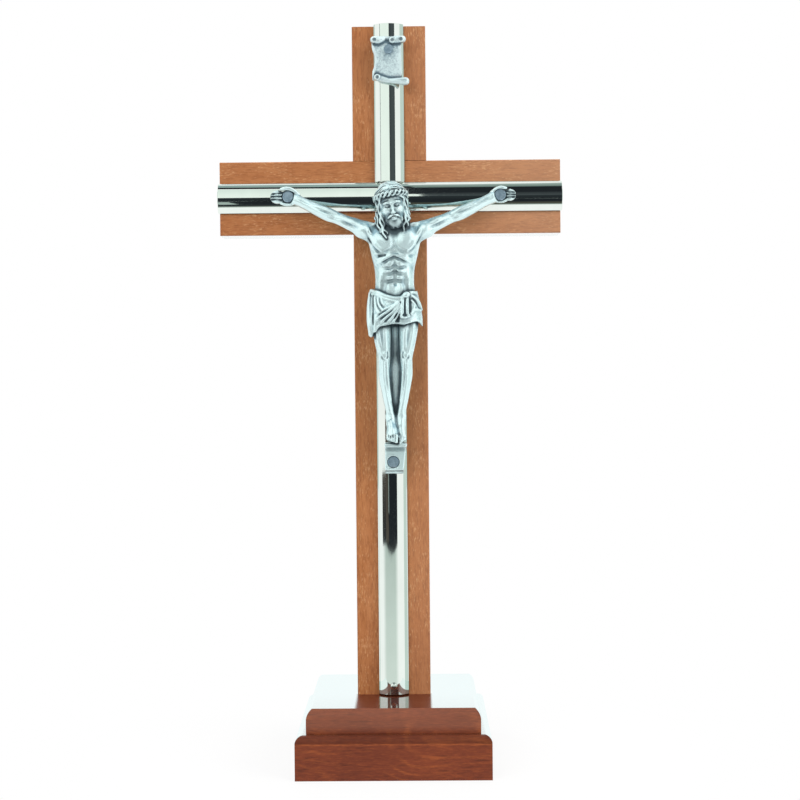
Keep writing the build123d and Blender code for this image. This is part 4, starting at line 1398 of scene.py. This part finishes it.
# Forms near which the figure's metal is darkened: patina on the cloth under its folds, and painted shade at
# the throat under the beard and in the gap between the knees.
# Each is a form, how dark it makes the metal, and how far outside it that reaches.
throat_shares = ((0.1, 6.3, -8.9), (3.4, 2.2, 2.4))
knee_gap_shares = ((0.0, 4.8, -41.5), (0.5, 0.5, 1.5))
figure_darkening_forms = (
    (cloth_body, 0.13, 0.16),
    (Ball(*throat_shares, np.eye(3)), 0.22, 1.2),
    (Ball(*knee_gap_shares, np.eye(3)), 0.2, 2.4),
)
figure_steps = (shape_torso, shape_arms, shape_legs, shape_foot_rest, shape_cloth, shape_face, shape_beard,
                shape_hair, shape_locks, shape_crown)


def make_figure(material):
    """The cast figure, one closed piece in the place of its plain solid."""
    low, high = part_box("corpus")
    unit = (high.z - low.z) / figure_height_shares
    clay = Clay(*figure_box_shares, figure_cell_share)
    for step in figure_steps:
        step(clay)
    origin = ((low.x + high.x) / 2, high.y, high.z - figure_top_share * unit)
    piece = cast_piece("figure", clay, origin, unit, material, figure_darkening_forms)
    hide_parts("corpus")
    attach(piece, "root")


# Scroll: shares of its height, with x from the upright's middle, d forward and z up from its own middle

scroll_height_shares = 13.5
scroll_box_shares = ((-5.6, -0.6, -7.4), (6.4, 3.4, 7.4))
scroll_cell_share = 0.10
scroll_panel_shares = ((-0.5, 3.95, 5.8), (-0.4, 3.95, -5.2), (0.0, 1.0), 0.2)
scroll_shares = {
    "hollows": (
        ((-7.5, 0.7, 0.1), (3.8, 3.0, 4.8), 0, 0.3),
    ),
    "ridges": (
        (((-3.95, 1.0, 5.6, 0.95), (-2.8, 1.1, 5.5, 1.05), (-1.3, 0.9, 5.8, 0.7)), 1.0, 0.4),
        (((0.8, 1.0, 5.45, 0.85), (2.2, 1.1, 5.6, 1.05), (3.8, 1.0, 5.7, 0.95)), 1.0, 0.4),
        (((-1.2, 0.7, 6.1, 0.5), (-0.2, 0.7, 6.0, 0.55), (0.8, 0.7, 6.1, 0.5)), 1.0, 0.4),
        (((-3.05, 1.0, -4.55, 0.9), (-0.85, 1.1, -5.2, 0.72), (0.55, 1.15, -5.45, 0.66),
          (2.5, 1.15, -5.5, 0.85), (4.5, 1.1, -5.6, 1.1)), 1.0, 0.35),
        (((-4.2, 0.75, 4.4, 0.3), (-3.75, 0.8, 2.0, 0.28), (-3.55, 0.8, 0.1, 0.28), (-3.75, 0.8, -2.0, 0.28),
          (-4.0, 0.75, -4.2, 0.3)), 1.0, 0.3),
    ),
    "grooves": (
        (((1.9, 2.15, -5.2, 0.16), (3.2, 2.2, -5.3, 0.2), (4.7, 2.3, -5.35, 0.2)), 1.0, 0.25),
        (((-2.9, 2.25, 5.0, 0.16), (-2.3, 2.2, 5.2, 0.18), (-1.8, 2.0, 5.5, 0.16)), 1.0, 0.2),
        (((1.9, 2.25, 5.1, 0.16), (2.5, 2.3, 5.2, 0.18), (3.1, 2.25, 5.1, 0.16)), 1.0, 0.2),
    ),
}
scroll_curl_shares = ((-3.8, 1.3, 5.5), (1.05, 1.35, 5.4), (3.4, 1.35, 5.6), (-3.05, 1.35, -4.55))
scroll_curl_radius_share = 0.9
scroll_eye_shares = (0.58, 0.3, 0.58)
scroll_panel_blend_share = 0.2
scroll_curl_blend_share = 0.12
scroll_eye_blend_share = 0.1


def make_scroll(material):
    """A cast scroll with curled corners, a rolled foot and a bare field."""
    low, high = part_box("title_scroll")
    unit = (high.z - low.z) / scroll_height_shares
    clay = Clay(*scroll_box_shares, scroll_cell_share)
    clay.join(Slab(*scroll_panel_shares), scroll_panel_blend_share)
    model(clay, scroll_shares)
    size = scroll_curl_radius_share
    for place in scroll_curl_shares:
        clay.join(Ball(place, (size, size, size), np.eye(3)), scroll_curl_blend_share)
        front = (place[0], place[1] + size, place[2])
        clay.cut(Ball(front, scroll_eye_shares, np.eye(3)), scroll_eye_blend_share)
    origin = (0.0, high.y, (low.z + high.z) / 2)
    piece = cast_piece("scroll", clay, origin, unit, material)
    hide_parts("title_scroll")
    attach(piece, "root")


# Strips: bent plate with a domed face, finely divided so that it mirrors smoothly

strip_side_share = 0.47
strip_wall_share = 0.118
strip_dome_steps = 64
strip_end_round = 0.12 * mm
strip_crease = 30.0
level_axis = 0
upright_axis = 2


def strip_outline(half, sides, rise, wall):
    """The plate's section as two lines of places across and forward, the outer and the inner one."""
    lines = []
    for inset in (0.0, wall):
        radius = ((half - inset) ** 2 + rise ** 2) / (2 * rise)
        reach = math.asin((half - inset) / radius)
        turns = np.linspace(reach, -reach, strip_dome_steps + 1)
        top = sides + rise - inset
        dome = [(radius * math.sin(turn), top - radius + radius * math.cos(turn)) for turn in turns]
        lines.append(np.array([(half - inset, 0.0), *dome, (inset - half, 0.0)]))
    return lines


def make_strip(node, name, lengthwise, material):
    """One strip between its node's ends, with its outer rim eased."""
    low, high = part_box(node)
    across = level_axis if lengthwise == upright_axis else upright_axis
    half = (high[across] - low[across]) / 2
    forward = high.y - low.y
    sides = strip_side_share * forward
    outer, inner = strip_outline(half, sides, forward - sides, strip_wall_share * forward)
    eased = outer * (1 - strip_end_round / half)
    count = len(outer)
    start, end = low[lengthwise], high[lengthwise]
    rings = ((inner, start), (eased, start), (outer, start + strip_end_round), (outer, end - strip_end_round),
             (eased, end), (inner, end))
    corners = []
    for line, place in rings:
        for side, depth in line:
            corner = [0.0, high.y - depth, 0.0]
            corner[across] = (low[across] + high[across]) / 2 + side
            corner[lengthwise] = place
            corners.append(corner)
    faces = []
    for ring in range(len(rings)):
        after = (ring + 1) % len(rings)
        for step in range(count - 1):
            near = ring * count + step
            far = after * count + step
            faces.append((near, near + 1, far + 1, far))
    for foot in (0, count - 1):
        column = [ring * count + foot for ring in range(len(rings))]
        start_inner, start_eased, start_outer, end_outer, end_eased, end_inner = column
        faces.append((start_inner, start_eased, end_eased, end_inner))
        faces.append((start_eased, start_outer, end_outer, end_eased))
    piece = mesh_piece(name, np.array(corners), np.array(faces), material)
    make_outward(piece)
    piece.data.set_sharp_from_angle(angle=math.radians(strip_crease))
    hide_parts(node)
    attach(piece, "root")


def make_outward(piece):
    """Turns every face of a closed mesh to look out."""
    shell = bmesh.new()
    shell.from_mesh(piece.data)
    bmesh.ops.recalc_face_normals(shell, faces=shell.faces)
    shell.to_mesh(piece.data)
    shell.free()


# Stage: floor, lamps, world and the cards that the bright metal mirrors

floor_front = 0.09
floor_steps = 24
floor_half = 4.0
floor_corner_shares = ((1, 0), (1, 1), (-1, 1), (-1, 0))
floor_tone = (0.92, 0.92, 0.92, 1.0)
floor_roughness = 0.9
shadow_reach = 0.04
shadow_glow = 0.85
white = (1.0, 1.0, 1.0, 1.0)
world_light = 0.55
# Each lamp: its place, what it points at, its width and height, and its power
lamps = {
    "key": ((-0.45, -0.75, 0.5), (0.0, 0.0, 0.1), (0.6, 0.6), 3.6),
    "fill": ((0.7, -0.5, 0.45), (0.0, 0.0, 0.1), (0.6, 0.6), 4.4),
    "top": ((0.0, 0.1, 1.1), (0.0, 0.0, 0.0), (0.8, 0.8), 4.0),
}
card_middle = Vector((0.0, 0.0, 0.1))
card_distance = 1.0
card_steps = 24
mirror_black = srgb(34, 38, 42)
mirror_dark = srgb(46, 52, 55)
mirror_dim = srgb(72, 78, 81)
mirror_brown = srgb(78, 78, 68)
mirror_umber = srgb(78, 72, 66)
mirror_green = srgb(104, 122, 119)
mirror_steel = srgb(152, 172, 170)
mirror_grey = srgb(170, 184, 179)
mirror_mist = srgb(204, 218, 212)
mirror_pale = srgb(228, 239, 233)
mirror_cream = srgb(246, 253, 248)
# Each card: where it starts and ends to the right of the front and above the cards' middle, in degrees, and
# its tones at the foot and at the top. The crossbar's strip mirrors the cards that stand one above another,
# the upright's strips those side by side.
cards = {
    "card_front": ((-40.0, 27.0), (-9.6, 9.6), mirror_black, mirror_dark),
    "card_front_left": ((-62.0, -40.0), (-9.1, -5.2), mirror_black, mirror_umber),
    "card_front_brown": ((-40.0, -22.4), (-9.0, 9.6), mirror_umber, mirror_umber),
    "card_front_line": ((-22.8, -20.4), (-15.0, 0.0), mirror_grey, mirror_grey),
    "card_near": ((-24.0, 24.0), (-15.5, 3.0), mirror_black, mirror_black),
    "card_foot": ((-60.0, 31.0), (-24.0, -5.0), mirror_cream, mirror_grey),
    "card_left": ((-51.0, 0.8), (9.6, 22.0), mirror_cream, mirror_cream),
    "card_left_upper": ((-51.0, -0.2), (22.0, 58.0), mirror_cream, mirror_pale),
    "card_left_wedge": ((-0.2, 1.5), (25.0, 55.0), mirror_pale, mirror_pale),
    "card_left_line": ((-54.6, -51.8), (9.6, 24.0), mirror_green, mirror_green),
    "card_lintel": ((-60.0, 0.8), (61.0, 71.0), mirror_black, mirror_black),
    "card_high_left": ((-90.0, 0.8), (71.0, 88.0), mirror_steel, mirror_steel),
    "card_right": ((0.8, 12.0), (9.6, 36.0), mirror_dim, mirror_black),
    "card_right_grey": ((12.0, 34.0), (9.6, 24.0), mirror_dim, mirror_dim),
    "card_right_upper": ((-0.2, 26.0), (22.0, 61.0), mirror_black, mirror_black),
    "card_high_right": ((0.8, 90.0), (61.0, 81.0), mirror_green, mirror_grey),
    "card_low_left": ((-18.0, 0.0), (-38.0, -18.0), mirror_dark, mirror_black),
    "card_low_right": ((0.0, 18.0), (-38.0, -18.0), mirror_brown, mirror_dark),
    "card_low_edge": ((-20.0, 20.0), (-46.0, -38.0), mirror_grey, mirror_brown),
    "card_far_left": ((-120.0, -88.0), (-20.0, 26.0), mirror_mist, mirror_mist),
    "card_far_right": ((68.0, 120.0), (-20.0, 26.0), mirror_mist, mirror_mist),
}
# What differs on a few cards: how many degrees the foot curves up at both ends, how far the card closes to
# a point at the right, how much of its width turns white at each end, and its distance
card_bows = {"card_front": 0.5}
card_closing_shares = {"card_left_wedge": 1.0}
card_fade_shares = {"card_foot": 0.2}
card_distance_shares = {"card_front_brown": 0.99, "card_front_line": 0.19, "card_near": 0.2,
                        "card_foot": 1.1, "card_left_wedge": 0.99, "card_right_upper": 1.01}


def make_sheet(name, corners, faces, material):
    mesh = bpy.data.meshes.new(name)
    mesh.from_pydata(corners, [], faces)
    mesh.materials.append(material)
    sheet = bpy.data.objects.new(name, mesh)
    bpy.context.scene.collection.objects.link(sheet)
    return sheet


def make_floor():
    """A wide pale floor that keeps the shadow."""
    material, tree, shader = new_material("floor_white")
    fill(tree, shader, {"Base Color": floor_tone, "Roughness": floor_roughness, "Specular IOR Level": 0.0})
    rays = add(tree, "ShaderNodeLightPath").outputs
    seen = sums(tree, "MAXIMUM", rays["Is Camera Ray"], rays["Is Glossy Ray"])
    glow = add(tree, "ShaderNodeEmission", {"Color": white, "Strength": 1.0}).outputs[0]
    place = add(tree, "ShaderNodeNewGeometry").outputs["Position"]
    away = add(tree, "ShaderNodeVectorMath", {0: place}, operation="LENGTH").outputs["Value"]
    glow_share = span(tree, away, shadow_reach, floor_front, shadow_glow, 1.0)
    share = sums(tree, "MULTIPLY", seen, glow_share)
    both = add(tree, "ShaderNodeMixShader", {0: share, 1: shader.outputs[0], 2: glow}).outputs[0]
    show(tree, both)
    turns = [math.pi * step / floor_steps for step in range(floor_steps + 1)]
    corners = [(-floor_front * math.cos(turn), -floor_front * math.sin(turn), 0) for turn in turns]
    corners += [(floor_half * across, floor_half * behind, 0) for across, behind in floor_corner_shares]
    make_sheet("floor", corners, [tuple(range(len(corners)))], material)


def make_world():
    """White where it is seen or mirrored, and a plain soft light on everything else."""
    world = bpy.data.worlds.new("studio")
    world.use_nodes = True
    tree = world.node_tree
    ground = tree.nodes["Background"]
    rays = add(tree, "ShaderNodeLightPath").outputs
    seen = sums(tree, "MAXIMUM", rays["Is Camera Ray"],
                sums(tree, "MAXIMUM", rays["Is Glossy Ray"], rays["Is Transmission Ray"]))
    strength = span(tree, seen, 0.0, 1.0, world_light, 1.0)
    fill(tree, ground, {"Color": white, "Strength": strength})
    bpy.context.scene.world = world


def make_lamp(name, place, target, size, power):
    data = bpy.data.lights.new(name, "AREA")
    data.shape = "RECTANGLE"
    data.size, data.size_y = size
    data.energy = power
    lamp = bpy.data.objects.new(name, data)
    bpy.context.scene.collection.objects.link(lamp)
    lamp.location = place
    lamp.rotation_mode = "QUATERNION"
    lamp.rotation_quaternion = (Vector(target) - Vector(place)).to_track_quat("-Z", "Y")
    lamp.visible_glossy = False


def card_material():
    """Glows with the tone that is kept on a card's corners."""
    material, tree, _ = new_material("card_tone")
    tone = add(tree, "ShaderNodeAttribute", attribute_name="tone").outputs["Color"]
    glow = add(tree, "ShaderNodeEmission", {"Color": tone, "Strength": 1.0}).outputs[0]
    show(tree, glow)
    return material


def make_card(name, headings, rises, tones, material):
    """A card that only mirrors see: a patch of a ball round the object."""
    corners = []
    shades = []
    fade = card_fade_shares.get(name, 0.0)
    middle = sum(rises) / 2
    for step in range(card_steps + 1):
        share = step / card_steps
        heading = math.radians(headings[0] + (headings[1] - headings[0]) * share)
        closed = card_closing_shares.get(name, 0.0) * share
        foot, top = (rise + closed * (middle - rise) for rise in rises)
        foot += card_bows.get(name, 0.0) * (2 * share - 1) ** 2
        whiter = max(0.0, 1 - min(share, 1 - share) / fade) if fade else 0.0
        shades.append([[part + whiter * (1 - part) for part in tone] for tone in tones])
        for rise in (foot, top):
            lift = math.radians(rise)
            level = math.cos(lift)
            out = Vector((math.sin(heading) * level, -math.cos(heading) * level, math.sin(lift)))
            corners.append(card_middle + out * card_distance * card_distance_shares.get(name, 1.0))
    faces = [(2 * step, 2 * step + 2, 2 * step + 3, 2 * step + 1) for step in range(card_steps)]
    card = make_sheet(name, corners, faces, material)
    held = card.data.attributes.new("tone", "FLOAT_COLOR", "POINT")
    held.data.foreach_set("color", np.array(shades, np.float32).ravel())
    card.visible_camera = False
    card.visible_diffuse = False
    card.visible_shadow = False
    card.visible_transmission = False


def make_camera():
    heading, pitch, roll = (math.radians(angle) for angle in (camera_heading, camera_pitch, camera_roll))
    level = math.cos(pitch)
    forward = Vector((math.sin(heading) * level, math.cos(heading) * level, math.sin(pitch)))
    right = Vector((math.cos(heading), -math.sin(heading), 0))
    up = right.cross(forward)
    rolled_right = math.cos(roll) * right + math.sin(roll) * up
    rolled_up = math.cos(roll) * up - math.sin(roll) * right
    data = bpy.data.cameras.new("camera")
    data.sensor_width = sensor_width
    data.lens = sensor_width * focal_pixels / picture_pixels
    data.clip_start = camera_clip
    camera = bpy.data.objects.new("camera", data)
    bpy.context.scene.collection.objects.link(camera)
    turn = Matrix((rolled_right, rolled_up, -forward)).transposed().to_4x4()
    camera.matrix_world = Matrix.Translation(camera_place) @ turn
    bpy.context.scene.camera = camera


def finish_node(name, material):
    mesh = nodes[name].data
    mesh.materials.clear()
    mesh.materials.append(material)


# The first tone of the cross is a painted sheen that pales its wood towards the viewer's right
cross_tones = (srgb(206, 176, 150), srgb(212, 164, 116), srgb(186, 124, 78), srgb(164, 100, 56),
               srgb(118, 62, 34))
# The first tone of the base is a painted sheen on the step above the plinth
base_tones = (srgb(166, 124, 104), srgb(166, 88, 40), srgb(124, 58, 32), srgb(102, 44, 24), srgb(58, 25, 13))
figure_tones = (srgb(228, 254, 255), srgb(148, 186, 198), srgb(74, 90, 96))
scroll_tones = (srgb(230, 250, 252), srgb(122, 150, 164), srgb(64, 79, 88))

finish_node("upright", wood("upright_wood", upright_axis, cross_tones, roughness=0.4))
finish_node("crossbar", wood("crossbar_wood", level_axis, cross_tones, roughness=0.4))
finish_node("base_block", polished_wood("base_wood", base_tones))
pin_steel = dull_steel("pin_steel", srgb(170, 194, 208), srgb(130, 156, 172), roughness=0.34)
strip_plate = bright_metal("strip_plate", srgb(238, 246, 240), roughness=0.03)
for name in ("left_hand_pin", "right_hand_pin", "foot_pin", "scroll_pin", "base_screw"):
    finish_node(name, pin_steel)
finish_node("lower_strip_brad", strip_plate)
make_strip("crossbar_strip", "crossbar_plate", level_axis, strip_plate)
make_strip("upper_strip", "upper_plate", upright_axis, strip_plate)
make_strip("lower_strip", "lower_plate", upright_axis, strip_plate)
# painted_front_light sets the figure's painted highlight on forward faces and painted shade on upward ones;
# the scroll has none
make_figure(cast_metal("antique_silver", figure_tones, roughness=0.25, brightened_bends=(-0.13, 0.08),
                       grain_strength=0.06, painted_front_light=0.12))
make_scroll(cast_metal("scroll_silver", scroll_tones, roughness=0.32, brightened_bends=(-0.02, 0.16),
                       grain_strength=0.5, painted_front_light=0.0))

make_floor()
make_world()
glowing = card_material()
for name, (headings, rises, *tones) in cards.items():
    make_card(name, headings, rises, tones, glowing)
for name, settings in lamps.items():
    make_lamp(name, *settings)
make_camera()
bpy.context.scene.view_settings.view_transform = "Standard"
